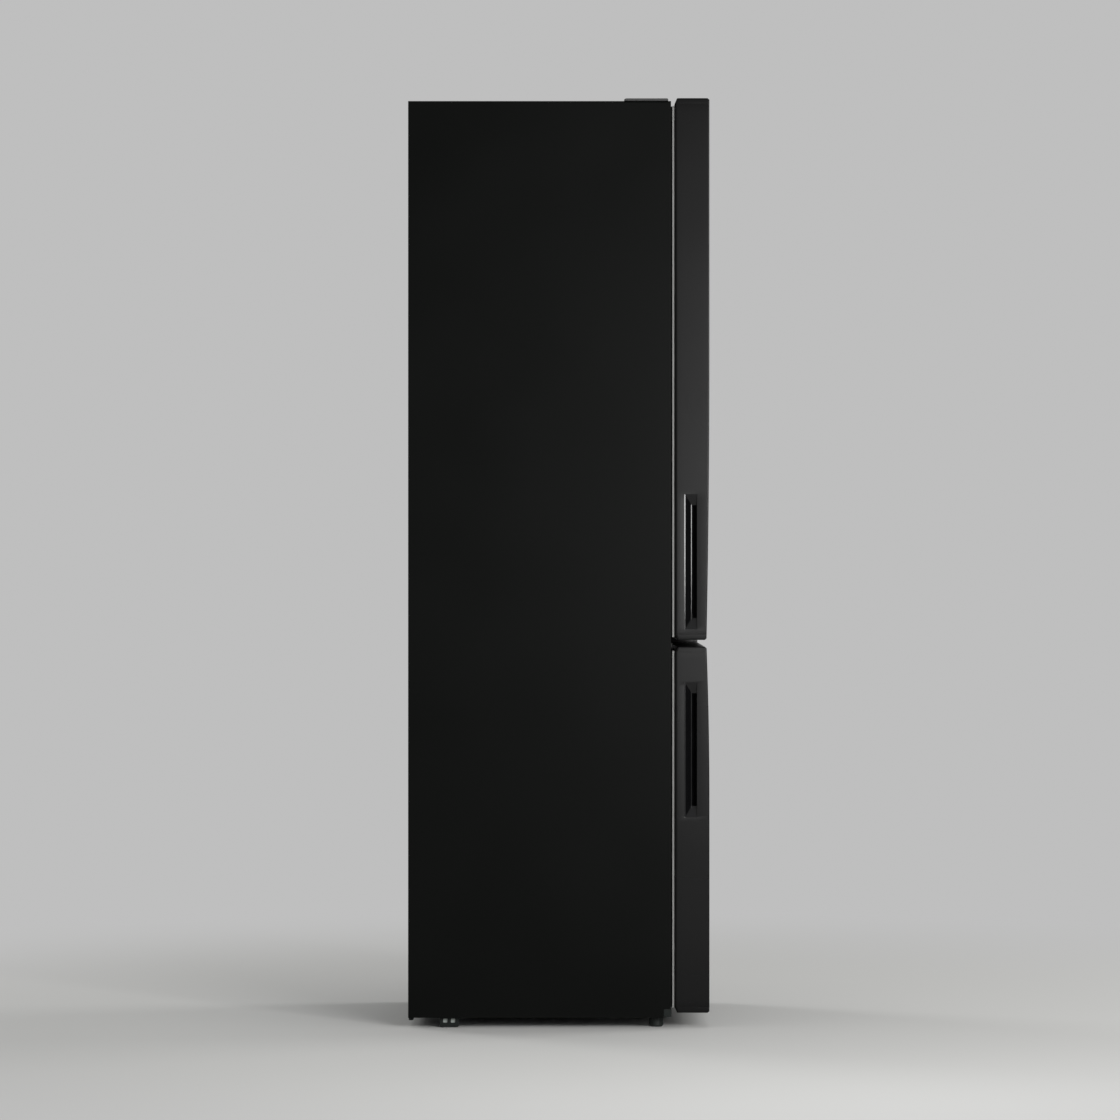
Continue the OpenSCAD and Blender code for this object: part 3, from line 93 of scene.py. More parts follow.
# %% [markdown]
# ## From a formula to a mesh
#
# Sheet metal, seals and moulded shells are all surfaces, and a surface is a function of two
# parameters. So each new piece is worked out as one array of points, a grid that runs along u
# and v, and one helper turns any such grid into faces. Where the grid closes on itself, its last
# row is joined to its first. Poles, where a row shrinks to a point, are merged afterwards.

# %% A grid of points and its faces
def grid_mesh(points, close_u=False, close_v=False, keep=None):
    """Vertices and faces of a grid. A face joins (u, v), (u+1, v), (u+1, v+1) and (u, v+1).
    keep is an array of true and false, one for each face, for holes."""
    points = np.asarray(points, float)
    n_u, n_v = points.shape[:2]
    index = np.arange(n_u * n_v).reshape(n_u, n_v)
    if close_u:
        index = np.vstack([index, index[:1]])
    if close_v:
        index = np.hstack([index, index[:, :1]])
    faces = np.stack([index[:-1, :-1], index[1:, :-1], index[1:, 1:], index[:-1, 1:]], axis=-1)
    if keep is not None:
        faces = faces[keep]
    return points.reshape(-1, 3), faces.reshape(-1, 4)


def joined(parts):
    """Several (vertices, faces) pairs as one: each part's indices move up by those before."""
    starts = np.cumsum([0] + [len(v) for v, _ in parts[:-1]])
    return (
        np.concatenate([v for v, _ in parts]),
        np.concatenate([f + s for (_, f), s in zip(parts, starts)]),
    )


tube = grid_mesh(np.zeros((4, 5, 3)), close_v=True)
print("a grid of 4 by 5 points that is closed along v has", len(tube[1]), "faces")

# %% [markdown]
# ## From faces to a piece
#
# A piece has to know three things: the body that it moves with, the slot that its finish is kept
# under, and the solid that it stands for, if there is one. Points that lie on each other are
# merged, which closes seams and poles, and the faces are turned outwards. An open sheet that gets
# its wall from Solidify skips that step, because its faces already point the way they should.

# %% A piece on its body, and its modifiers
POLE_MERGE = 1e-6


def linked(name, data):
    """An object for a mesh, lamp or camera, put into the scene."""
    obj = bpy.data.objects.new(name, data)
    bpy.context.scene.collection.objects.link(obj)
    return obj


def piece(name, shape, body, slot, replaced=(), merge=True):
    """A smooth piece of the object from (vertices, faces), riding on a body."""
    vertices, faces = shape
    used, faces = np.unique(faces, return_inverse=True)
    mesh = bpy.data.meshes.new(name)
    mesh.from_pydata(np.asarray(vertices)[used], [], faces.reshape(-1, np.shape(shape[1])[1]))
    if merge:
        bm = bmesh.new()
        bm.from_mesh(mesh)
        bmesh.ops.remove_doubles(bm, verts=bm.verts, dist=POLE_MERGE)
        bmesh.ops.recalc_face_normals(bm, faces=bm.faces)
        bm.to_mesh(mesh)
        bm.free()
    mesh.polygons.foreach_set("use_smooth", np.ones(len(mesh.polygons), bool))
    mesh.update()
    obj = linked(name, mesh)
    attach(obj, body)
    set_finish(obj, slot)
    if replaced:
        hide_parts(*replaced)
    print(f"{name}: {len(mesh.vertices)} vertices, {len(mesh.polygons)} faces")
    return obj


def modifier(obj, kind, **settings):
    """Adds a modifier of that kind with its settings."""
    added = obj.modifiers.new(kind.lower(), kind)
    for key, value in settings.items():
        setattr(added, key, value)


def round_edges(obj, width, segments, from_degrees):
    """A live Bevel, width metres wide, on each edge that bends by more than from_degrees."""
    modifier(
        obj, "BEVEL", width=width, segments=segments, limit_method="ANGLE",
        angle_limit=math.radians(from_degrees),
    )


def shade_by_area(obj):
    """Large faces keep their own direction, so light stays flat on them up to the rounding."""
    modifier(obj, "WEIGHTED_NORMAL", mode="FACE_AREA", weight=90, keep_sharp=True)


print("points merge within mm:", POLE_MERGE / MM)

# %% [markdown]
# ## The doors' front, as a formula
#
# Seen from the side, the two door fronts draw back towards the gap between them, the upper one
# over 640 mm and the lower one over 340 mm. The draw is a square law, so it starts softly and is
# 6.5 mm at the gap. The solids are made with the same law in steps. Here it is smooth.

# %% The waist between the doors
DOORS = ("fridge_door", "freezer_door")
DOOR_FRONT = cad_box[0].y
DOOR_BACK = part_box("fridge_door_caps")[1].y
SIDE = cad_box[1].x
SPLIT_Z = 839.5 * MM
WAIST_IN, WAIST_UP, WAIST_DOWN = 6.5 * MM, 640 * MM, 340 * MM


def waist(z):
    """Metres that the front is drawn back at height z: a square law on both sides of the gap."""
    up = 1 - (z - SPLIT_Z) / WAIST_UP
    down = 1 - (SPLIT_Z - z) / WAIST_DOWN
    return WAIST_IN * np.maximum(0, np.where(z > SPLIT_Z, up, down)) ** 2


print("door thickness in mm:", round((DOOR_BACK - DOOR_FRONT) / MM, 1))

# %% [markdown]
# ## Door skins
#
# The real skin is one sheet, bent round the door with a 3 mm radius at each front corner and 6 mm
# at the rear, where it is hemmed, and with a rectangular hole stamped in one side for the grip.
# It could be a solid box with a bevel, but then the hole and the hem are awkward. Carrying the
# bend's profile up the door gives them for nothing: the profile has points on the hole's edges,
# the heights have values on its ends, and the faces in between are left out.

# %% The sheet's sizes and its hole
LIP = 14 * MM
EDGE_R = 3 * MM
REAR_R = 6 * MM
SKIN_T = 0.8 * MM
BEND_STEPS, FRONT_STEPS, HEIGHT_STEPS = 10, 25, 63
MOUTH_Y = (-276.5 * MM, -301.5 * MM)
RIM_REAR, RIM_FRONT, RIM_END = 2.5 * MM, 0.5 * MM, 0.5 * MM
END_ROOM = 2 * MM
HOLE_Y = (MOUTH_Y[0] + RIM_REAR, MOUTH_Y[1] - RIM_FRONT)

grip_ends = {}
for door in DOORS:
    low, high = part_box(door + "_grip")
    grip_ends[door] = (low.z + END_ROOM, high.z - END_ROOM)
print("grip lengths in mm:", [round((b - a) / MM, 1) for a, b in grip_ends.values()])


# %% The bent profile, carried up
def corner(centre, radius, start):
    """Points on a quarter circle: centre + radius * (cos a, sin a), a from start on."""
    angle = np.radians(start + np.linspace(0, 90, BEND_STEPS + 1))
    return np.array(centre) + radius * np.stack([np.cos(angle), np.sin(angle)], axis=1)


def door_skin(name, node, grip_z, body):
    """The sheet as a grid: u runs round the door from hem to hem, v up it. Rows with weight 1
    are measured from the drawn-back front, the others stay at their own depth."""
    low, high = (end.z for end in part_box(node))
    left_rear = corner((-SIDE + REAR_R, DOOR_BACK - REAR_R), REAR_R, 90)
    left_front = corner((-SIDE + EDGE_R, EDGE_R), EDGE_R, 180)
    right_front = corner((SIDE - EDGE_R, EDGE_R), EDGE_R, 270)
    right_rear = corner((SIDE - REAR_R, DOOR_BACK - REAR_R), REAR_R, 0)
    across = np.linspace(-SIDE + EDGE_R, SIDE - EDGE_R, FRONT_STEPS + 1)[1:-1]
    rows = [(-SIDE + LIP, DOOR_BACK, 0)]
    rows += [(x, y, 0) for x, y in left_rear]
    rows += [(-SIDE, y, 0) for y in HOLE_Y]
    rows += [(x, y, 1) for x, y in left_front]
    rows += [(x, 0, 1) for x in across]
    rows += [(x, y, 1) for x, y in right_front]
    rows += [(x, y, 0) for x, y in right_rear]
    rows += [(SIDE - LIP, DOOR_BACK, 0)]
    x, y, weight = np.array(rows).T
    z = np.unique(np.concatenate([np.linspace(low, high, HEIGHT_STEPS + 1), grip_z]))
    depth = y[:, None] + weight[:, None] * (DOOR_FRONT + waist(z))[None, :]
    points = np.stack([x[:, None] + 0 * depth, depth, z[None, :] + 0 * depth], axis=-1)
    on_side = (x < -SIDE + POLE_MERGE) & (weight == 0)
    mid_y, mid_z = (y[:-1] + y[1:]) / 2, (z[:-1] + z[1:]) / 2
    in_row = on_side[:-1] & on_side[1:] & (mid_y < HOLE_Y[0]) & (mid_y > HOLE_Y[1])
    in_column = (mid_z > grip_z[0]) & (mid_z < grip_z[1])
    sheet = grid_mesh(points, keep=~np.outer(in_row, in_column))
    obj = piece(name, sheet, body, "door_paint", [node], merge=False)
    modifier(obj, "SOLIDIFY", thickness=SKIN_T, offset=-1)
    shade_by_area(obj)


for door in DOORS:
    door_skin(door + "_sheet", door + "_skin", grip_ends[door], door)

# %% [markdown]
# ## Grip pockets
#
# Each grip is a glossy black insert, moulded with flat facets: a slope that leads the fingers in
# from the rear, a deep well that reaches under the front lip, and sloped facets at both ends. A
# subdivided surface would melt those facets together. So the facets are listed as a profile,
# joined from end to end, and a Bevel gives each edge the small radius that a moulding has. That
# radius is what catches the light as a thin bright line.

# %% The pocket's sizes
END_LEAN = 1.5
WALL_IN = 16 * MM
WELL_IN, WELL_FRONT, WELL_SLOPE = 33.5 * MM, -307.5 * MM, math.radians(12)
LAND_IN, LAND_BEHIND = 14.4 * MM, 12.6 * MM
LAND_W, LAND_TILT = 1.8 * MM, math.radians(8)
LIP_IN, UNDERCUT_IN = 8 * MM, 14 * MM
GRIP_WALL, GRIP_ROUND = 1.6 * MM, 0.4 * MM
END_FACETS = ((4, 5, 6, 7), (1, 2, 3, 4, 7, 8, 9, 10), (0, 1, 10, 11))
print("pocket depth in mm:", round(WELL_IN / MM, 1))


# %% A pocket from its facets
def grip_insert(name, z, body):
    """Points are (depth into the door, y) along the profile, from the rear rim over the slope,
    the land and the well to the front rim. The ends lean inwards by END_LEAN times the depth,
    down to WALL_IN. Strips join the ends, and END_FACETS close them: the well's end wall, the
    sloped facet and the rim. The rear rim and the land lean LAND_TILT towards the front, so both
    show the light from there as a thin line. The well's floor falls by WELL_SLOPE towards the
    front, where the fingertips go."""
    back, front = MOUTH_Y
    rim_in = RIM_REAR * math.tan(LAND_TILT)
    land_y = back - LAND_BEHIND
    land_end = (LAND_IN + LAND_W * math.sin(LAND_TILT), land_y - LAND_W * math.cos(LAND_TILT))
    well_rear = WELL_IN - (land_end[1] - WELL_FRONT) * math.tan(WELL_SLOPE)
    depth, y = np.array([
        (0, back + RIM_REAR), (rim_in, back), (LAND_IN, land_y), land_end,
        (WALL_IN, land_end[1]), (well_rear, land_end[1]), (WELL_IN, WELL_FRONT),
        (WALL_IN, WELL_FRONT), (UNDERCUT_IN, WELL_FRONT), (LIP_IN, front), (rim_in, front),
        (0, front - RIM_FRONT),
    ]).T
    inset = np.where(depth > 0, RIM_END + END_LEAN * np.minimum(depth, WALL_IN), 0)
    n = len(depth)
    vertices = np.concatenate([
        np.stack([depth - SIDE, y, z[0] + inset], axis=1),
        np.stack([depth - SIDE, y, z[1] - inset], axis=1),
    ])
    k = np.arange(n - 1)
    strips = np.stack([k, k + 1, n + k + 1, n + k], axis=1).tolist()
    ends = [[first + a for a in facet] for first in (0, n) for facet in END_FACETS]
    mesh = bpy.data.meshes.new(name)
    mesh.from_pydata(vertices, [], strips + ends)
    bm = bmesh.new()
    bm.from_mesh(mesh)
    bmesh.ops.recalc_face_normals(bm, faces=bm.faces)
    deepest = max(bm.faces, key=lambda f: f.calc_center_median().x)
    if deepest.normal.x > 0:
        bmesh.ops.reverse_faces(bm, faces=bm.faces)
    bm.to_mesh(mesh)
    bm.free()
    obj = linked(name, mesh)
    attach(obj, body)
    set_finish(obj, "grip_gloss")
    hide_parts(body + "_grip")
    round_edges(obj, GRIP_ROUND, segments=3, from_degrees=12)
    modifier(obj, "SOLIDIFY", thickness=GRIP_WALL, offset=-1)
    print(f"{name}: {n} profile points, {len(mesh.polygons)} facets")


for door in DOORS:
    grip_insert(door + "_pocket", grip_ends[door], door)

# %% [markdown]
# ## Door seals
#
# A fridge's seal is an extruded PVC profile: a flat flange on the door's rear face with a bead
# along its outer edge, a soft bellows, and a broad lip with a magnet strip inside. Four lengths
# are cut at 45 degrees and welded into a frame. Sweeping the profile round the four corners of a
# rectangle, and moving each corner by the profile's inset, is exactly that welded mitre. At the
# sides the lip sits further in than at the top and bottom, so the profile holds both insets.

# %% The seal's profile round the frame
SEAL_PROFILE = np.array([
    (1.6, 1.6, 0.0), (29.4, 29.4, 0.0), (30.0, 30.0, 0.6), (30.0, 30.0, 3.8), (29.2, 29.2, 4.5),
    (28.0, 17.0, 4.5), (26.5, 14.5, 5.0), (27.5, 15.5, 5.4), (31.2, 19.2, 5.5), (32.0, 20.0, 6.2),
    (31.6, 19.6, 7.2), (30.6, 18.6, 7.6), (22.5, 10.5, 7.6), (22.0, 10.0, 7.3), (21.5, 9.5, 7.6),
    (13.4, 1.4, 7.6), (12.4, 0.4, 7.2), (12.0, 0.0, 6.2), (12.8, 0.8, 5.5), (16.5, 4.5, 5.4),
    (17.5, 5.5, 5.0), (16.0, 3.2, 4.5), (3.0, 2.6, 4.5), (2.2, 1.9, 5.0), (0.9, 0.9, 5.2),
    (0.1, 0.1, 4.6), (0.0, 0.0, 2.4), (0.5, 0.5, 1.4), (1.6, 1.6, 1.1),
]) * MM
SEAL_ROUND = 0.3 * MM


def seal(name, node, body):
    """u runs round the four mitred corners, v round the profile. Its numbers are the inset at
    the sides, the inset at the top and bottom, and the height above the door's rear face."""
    low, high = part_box(node)
    inset_x, inset_z, out = SEAL_PROFILE.T
    points = [
        np.stack([
            np.where(sx > 0, low.x + inset_x, high.x - inset_x),
            low.y + out,
            np.where(sz > 0, low.z + inset_z, high.z - inset_z),
        ], axis=1)
        for sx, sz in ((1, 1), (-1, 1), (-1, -1), (1, -1))
    ]
    welded = grid_mesh(np.array(points), close_u=True, close_v=True)
    obj = piece(name, welded, body, "gasket_grey", [node])
    round_edges(obj, SEAL_ROUND, segments=2, from_degrees=35)
    shade_by_area(obj)


for door in DOORS:
    seal(door + "_seal", door + "_gasket", door)

# %% [markdown]
# ## Screws
#
# The visible screws are pan heads with a cross recess. A head is a surface of revolution whose
# height depends on the radius, so the recess can be cut in the same formula: where a point lies
# in one of two crossed slots, its height drops. One head has few faces, because there are many.

# %% Pan heads with a cross recess
HEAD_R, HEAD_H = 4.4 * MM, 1.2 * MM
SLOT_HALF_W, SLOT_HALF_L, SLOT_DEEP = 0.6 * MM, 2.3 * MM, 0.8 * MM
# Nine rings over the dome, then two at the full radius: the head's edge and its foot.
HEAD_RINGS = np.concatenate([np.linspace(0, 0.94, 9), [1.0, 1.0]])
HEAD_TURN = np.linspace(0, 2 * np.pi, 32, endpoint=False)
ASKEW = (0.3, 0.5, 0.8)


def screw_head(centre, axis):
    """Height over the seat: HEAD_H times a flattened dome, less the crossed slots' depth. The
    head stands at centre and looks along axis. Its slots are turned by ASKEW."""
    r, a = np.meshgrid(HEAD_RINGS * HEAD_R, HEAD_TURN, indexing="ij")
    u, v = r * np.cos(a), r * np.sin(a)
    height = HEAD_H * np.clip(1 - (r / HEAD_R) ** 4, 0, 1) ** 0.5
    cuts = [(np.abs(p) < SLOT_HALF_W) & (np.abs(q) < SLOT_HALF_L) for p, q in ((u, v), (v, u))]
    height = height - SLOT_DEEP * (cuts[0] | cuts[1])
    height[-1] = 0
    axis = np.array(axis, float)
    side = np.cross(axis, ASKEW)
    side /= np.linalg.norm(side)
    other = np.cross(axis, side)
    grid = np.array(centre) + u[..., None] * side + v[..., None] * other + height[..., None] * axis
    return grid_mesh(grid, close_v=True)


# %% Where the screws sit
UP, DOWN, FORWARDS, BACKWARDS = (0, 0, 1), (0, 0, -1), (0, -1, 0), (0, 1, 0)
back_wall = cad_box[1].y
plate_xs = [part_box("middle_hinge")[1].x - inwards * MM for inwards in (86, 62, 38)]
strip_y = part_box("top_cover")[0].y + 34 * MM
strip_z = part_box("top_cover")[1].z - 3 * MM
louvre_xs = (-SIDE + 14 * MM, -110 * MM, 110 * MM, SIDE - 14 * MM)
louvre_zs = (44 * MM, 238 * MM)
# In turn: the top, middle and bottom hinge plates, the louvred cover's lower and upper edge,
# and the rear ends of the cabinet's two sides, seen from below.
heads = [((x, strip_y, strip_z), UP) for x in plate_xs]
heads += [((x, -248 * MM, SPLIT_Z), FORWARDS) for x in plate_xs]
heads += [((x, -249 * MM, 27.5 * MM), FORWARDS) for x in plate_xs]
heads += [((x, back_wall - HEAD_H, z), BACKWARDS) for x in louvre_xs for z in louvre_zs]
heads += [((s * (SIDE - 8 * MM), back_wall - 20.5 * MM, 22 * MM), DOWN) for s in (-1, 1)]
all_heads = joined([screw_head(*head) for head in heads])
piece("screw_heads", all_heads, "cabinet", "screw_steel", ["fixing_screws"])
print("screw heads:", len(heads))

# %% [markdown]
# ## The middle hinge's cover
#
# The arm between the doors has a thin black plastic cover round it, which closes the gap to the
# eye. Seen from above it is a tongue: straight sides that leave the cabinet, and a half ellipse
# round the pin. It could be a curve with a bevel, but a wall is a grid too: the outline is
# carried up, with its edges drawn in a little as the mould needs, and Solidify gives the wall.

# %% A tongue-shaped wall
COVER_X = (255 * MM, 289 * MM)
COVER_BACK, COVER_TURN, COVER_TIP = -248.5 * MM, -303 * MM, -318.5 * MM
COVER_Z = (832.5 * MM, 846.5 * MM)
COVER_WALL, COVER_DRAW = 1.2 * MM, 0.5 * MM

centre_x, half_x = sum(COVER_X) / 2, (COVER_X[1] - COVER_X[0]) / 2
tip_turn = np.linspace(0, np.pi, 33)
tip_y = COVER_TURN + (COVER_TIP - COVER_TURN) * np.sin(tip_turn)
outline = np.concatenate([
    [(COVER_X[1], COVER_BACK)],
    np.stack([centre_x + half_x * np.cos(tip_turn), tip_y], axis=1),
    [(COVER_X[0], COVER_BACK)],
])
up = np.linspace(-1, 1, 9)
draw_in = COVER_DRAW * np.abs(up) ** 6
towards = np.array([centre_x, COVER_TURN]) - outline
towards /= np.linalg.norm(towards, axis=1, keepdims=True)
wall_z = np.interp(up, (-1, 1), COVER_Z)[None, :, None]
wall = np.concatenate([
    outline[:, None, :] + draw_in[None, :, None] * towards[:, None, :],
    np.broadcast_to(wall_z, (len(outline), len(up), 1)),
], axis=2)
hinge_cover = piece("hinge_cover", grid_mesh(wall), "cabinet", "black_plastic", merge=False)
modifier(hinge_cover, "SOLIDIFY", thickness=COVER_WALL, offset=-1)

# %% [markdown]
# ## Louvre blades
#
# The machine compartment breathes through rows of slots at the back. On the real cover the
# metal of each slot isn't cut away but pressed inwards, as a curved blade that turns down over
# the slot, so nobody looks straight in. A quarter ellipse carried along the slot gives it.

# %% A blade behind every slot
LOUVRE_X = np.array([-170, -56, 56, 170]) * MM
LOUVRE_Z = (58 + 17 * np.arange(10)) * MM
BLADE_L, BLADE_OUT, BLADE_DROP, BLADE_T = 68 * MM, 6.5 * MM, 8.5 * MM, 0.8 * MM
BLADE_Y, BLADE_TAPER = 326.8 * MM, 0.35
SLOT_TOP = 3.6 * MM


def blade(x, z):
    """A quarter ellipse from the slot's upper edge, inwards and down: depth BLADE_OUT sin a,
    height z + SLOT_TOP - BLADE_DROP (1 - cos a). Both shrink by BLADE_TAPER towards the blade's
    ends, with the sixth power of the way there."""
    u = np.linspace(-1, 1, 9)
    a = np.linspace(0, np.pi / 2, 7)
    taper = (1 - BLADE_TAPER * np.abs(u) ** 6)[:, None]
    reach = BLADE_OUT * np.sin(a)[None, :] * taper
    drop = BLADE_DROP * (1 - np.cos(a))[None, :] * taper
    along = x + BLADE_L / 2 * u[:, None] + 0 * reach
    return grid_mesh(np.stack([along, BLADE_Y - reach, z + SLOT_TOP - drop], axis=-1))


all_blades = joined([blade(x, z) for x in LOUVRE_X for z in LOUVRE_Z])
blades = piece("louvre_blades", all_blades, "cabinet", "rail_paint", merge=False)
modifier(blades, "SOLIDIFY", thickness=BLADE_T, offset=0)
print("blades:", len(LOUVRE_X) * len(LOUVRE_Z))

# %% [markdown]
# ## Foam plugs
#
# The cabinet is foamed lying on its face, through two holes in the rear panel. Each hole is shut
# with a small moulded plug, a shallow dish with a rim. It is a surface of revolution, so its
# height is given over the radius and turned about the hole's axis.

# %% Two dished plugs
PLUG_PROFILE = np.array([
    (0, 1.4), (4.0, 1.4), (6.2, 1.2), (7.4, 0.5), (8.6, 0.25), (9.8, 0.3), (10.5, 0.6), (10.6, 1.6),
]) * MM
PLUG_TURN = np.linspace(0, 2 * np.pi, 40, endpoint=False)
PLUG_X, PLUG_Z = 120 * MM, (700 * MM, 1500 * MM)


def plug(x, z):
    """u runs out along the radius, v round the axis. The profile's second number is the depth
    below the panel's outer face."""
    r, deep = PLUG_PROFILE.T[..., None]
    grid = np.stack([
        x + r * np.cos(PLUG_TURN), back_wall - deep + 0 * PLUG_TURN, z + r * np.sin(PLUG_TURN),
    ], axis=-1)
    return grid_mesh(grid, close_v=True)


piece("foam_plugs", joined([plug(PLUG_X, z) for z in PLUG_Z]), "cabinet", "black_plastic")

# %% [markdown]
# ## Soft edges on the other solids
#
# No real edge is perfectly sharp. A moulding has a small radius, cut sheet is slightly rolled,
# and glass is ground. Those radii are what the light catches, so each solid that can be seen gets
# a copy with a Bevel of the width that its process leaves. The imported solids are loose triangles,
# so the copy's doubled corners are merged first, or the Bevel would find no edges between them.

# %% A bevel for each process, in millimetres
BEVELS = {
    "cabinet_wrapper": 0.6, "rear_panel": 0.15, "bottom_sheet": 0.2, "base_pan": 0.4,
    "fridge_liner": 1.2, "freezer_liner": 1.2, "mullion_rail": 0.4, "base_front_rail": 0.6,
    "top_cover": 0.5, "top_hinge": 0.4, "middle_hinge": 0.5, "bottom_hinge": 0.4,
    "shelf_glass": 0.5, "shelf_trims": 0.8, "crisper_cover": 0.5, "fridge_air_duct": 0.8,
    "fridge_lamp": 0.6, "control_panel": 0.8, "freezer_rear_cover": 0.8, "compressor": 0.8,
    "compressor_mounts": 0.8, "condenser_fan_motor": 0.4, "evaporator_fan_motor": 0.4,
    "drain_tray": 0.6, "compressor_cover": 0.15, "power_inlet": 0.4, "foot_sockets": 0.4,
    "roller_brackets": 0.2, "fridge_door_caps": 0.3, "freezer_door_caps": 0.3,
    "fridge_door_liner": 1.0, "freezer_door_liner": 1.0, "door_bin_upper": 0.6,
    "door_bin_middle": 0.6, "door_bin_lower": 0.6, "crisper_drawer": 0.6,
    "freezer_drawer_upper": 0.6, "freezer_drawer_middle": 0.6, "freezer_drawer_lower": 0.6,
    "front_foot_left": 0.6, "front_foot_right": 0.6, "rear_roller_left": 0.5,
    "rear_roller_right": 0.5, "condenser_fan": 0.3, "evaporator_fan": 0.3,
}
CORNER_MERGE = 0.01 * MM
FLAT_WITHIN = math.radians(0.3)

record = frame["record"]
slots = {part["node"]: part["material_slot"] for part in record["subparts"]}
bodies = {
    node: body for body, members in record["behaviour"]["bodies"].items() for node in members
}


def soften(node, width):
    """A merged copy of the node's mesh stands for it, with a live Bevel of that width."""
    mesh = nodes[node].data.copy()
    for layer in ("custom_normal", "sharp_face", "sharp_edge"):
        if layer in mesh.attributes:
            mesh.attributes.remove(mesh.attributes[layer])
    bm = bmesh.new()
    bm.from_mesh(mesh)
    bmesh.ops.remove_doubles(bm, verts=bm.verts, dist=CORNER_MERGE)
    bmesh.ops.dissolve_limit(bm, angle_limit=FLAT_WITHIN, verts=bm.verts, edges=bm.edges)
    bm.to_mesh(mesh)
    bm.free()
    mesh.polygons.foreach_set("use_smooth", np.ones(len(mesh.polygons), bool))
    obj = linked(node + "_edged", mesh)
    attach(obj, bodies[node])
    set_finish(obj, slots[node])
    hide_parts(node)
    round_edges(obj, width * MM, segments=2, from_degrees=28)
    shade_by_area(obj)


for node, width in BEVELS.items():
    soften(node, width)
print("softened:", len(BEVELS), "of", len(nodes), "solids")

# %% [markdown]
# ## Tools for finishes
#
# Every finish is one Principled shader, with patterns that live in the object's own
# coordinates, in metres. So the size of a pattern is a real size: a noise of scale 1/s has
# features about s metres wide. Colours are written as they look on a screen and turned into
# linear light by one function.

# %% Colour and nodes
def linear(code):
    """A colour written as sRGB hex, as linear light with alpha 1."""
    value = np.array([int(code[i:i + 2], 16) for i in (0, 2, 4)]) / 255
    light = np.where(value <= 0.04045, value / 12.92, ((value + 0.055) / 1.055) ** 2.4)
    return (*light.tolist(), 1.0)


def add(tree, kind, **given):
    """A node of that kind. Names in lower case are its settings and the others its inputs, by
    their identifier or name: an output is linked to the input, a number or colour is set on it."""
    node = tree.nodes.new("ShaderNode" + kind)
    for name, value in given.items():
        if name[0].islower():
            setattr(node, name, value)
            continue
        socket = next(s for s in node.inputs if name in (s.identifier, s.name.replace(" ", "_")))
        if isinstance(value, bpy.types.NodeSocket):
            tree.links.new(value, socket)
        else:
            socket.default_value = value
    return node


print("mid grey in linear light:", round(linear("808080")[0], 3))

# %% [markdown]
# ## One way to join patterns to a shader
#
# What the eye reads as a material is mostly three things that change together over the surface:
# its colour, its gloss and its relief. So each finish hands three patterns to one function. A
# noise seldom leaves the range from 0.3 to 0.7, so the roughness makes its whole way in there.

# %% A new finish, and its three patterns
SWING = (0.3, 0.7)
finishes = {}


def start(slot, name, **sockets):
    """A new material for a slot, with the shader's constant values on its own sockets.
    Returns its tree, its shader, and the object coordinates in metres."""
    material = bpy.data.materials.new(name)
    material.use_nodes = True
    tree = material.node_tree
    tree.nodes.clear()
    shader = add(tree, "BsdfPrincipled", **sockets)
    add(tree, "OutputMaterial", Surface=shader.outputs["BSDF"])
    finishes[slot] = material
    return tree, shader, add(tree, "TexCoord").outputs["Object"]


def surface(tree, shader, tone, colours, shine, gloss, relief, depth, swing=SWING):
    """tone mixes the two colours, shine runs the roughness between the values of gloss while it
    goes over swing, and relief lifts the surface by depth. Without shine, roughness stays."""
    colour = add(tree, "Mix", data_type="RGBA", Factor=tone, A_Color=colours[0], B_Color=colours[1])
    bump = add(tree, "Bump", Height=relief, Distance=depth)
    tree.links.new(colour.outputs[2], shader.inputs["Base Color"])
    tree.links.new(bump.outputs[0], shader.inputs["Normal"])
    if shine:
        rough = add(
            tree, "MapRange", Value=shine, From_Min=swing[0], From_Max=swing[1],
            To_Min=gloss[0], To_Max=gloss[1],
        )
        tree.links.new(rough.outputs[0], shader.inputs["Roughness"])


print("roughness swings while noise goes over", SWING)

# %% [markdown]
# ## Painted steel
#
# The cabinet's sheet is coated as a coil before it is bent: near black, satin, with a very faint
# orange peel about a millimetre across, which is drawn at 4 mm because the picture can't hold
# less. The doors have a slightly greyer and smoother coat. Both have a weak reflection, because
# the coat is filled with matting powder. A slow drift of colour and gloss, a hand or more wide,
# keeps the large faces alive.

# %% A coat of paint
def painted(slot, name, dark, light, gloss, peel, depth, drift, **sockets):
    """Fine noise peel metres wide lifts the coat by depth. Slow noise drift metres wide runs the
    colour from dark to light and the roughness between the two values of gloss."""
    tree, shader, place = start(slot, name, **sockets)
    fine = add(tree, "TexNoise", Vector=place, Scale=1 / peel, Detail=2.0).outputs["Fac"]
    slow = add(tree, "TexNoise", Vector=place, Scale=1 / drift, Detail=1.0).outputs["Fac"]
    surface(tree, shader, slow, (linear(dark), linear(light)), slow, gloss, fine, depth)


print("noise scale for a 4 mm peel:", 1 / (4 * MM))

# %% Six coats
# Nearly black and soft: the flat side only brightens slowly towards a lamp.
painted(
    "cabinet_paint", "Coil-coated black steel, satin", "050605", "090a09",
    gloss=(0.38, 0.42), peel=4 * MM, depth=0.006 * MM, drift=260 * MM, Specular_IOR_Level=0.058,
)
# A shade greyer and smoother than the cabinet, so the doors stand out from it.
painted(
    "door_paint", "Coil-coated graphite steel, satin", "090909", "0c0c0c",
    gloss=(0.26, 0.3), peel=4 * MM, depth=0.004 * MM, drift=300 * MM, Specular_IOR_Level=0.16,
)
# The doors' colour on moulded ABS, a touch duller because paint sinks into plastic.
painted(
    "cap_plastic", "Painted ABS end cap, graphite satin", "090909", "0c0c0c",
    gloss=(0.27, 0.31), peel=3 * MM, depth=0.004 * MM, drift=120 * MM, Specular_IOR_Level=0.16,
)
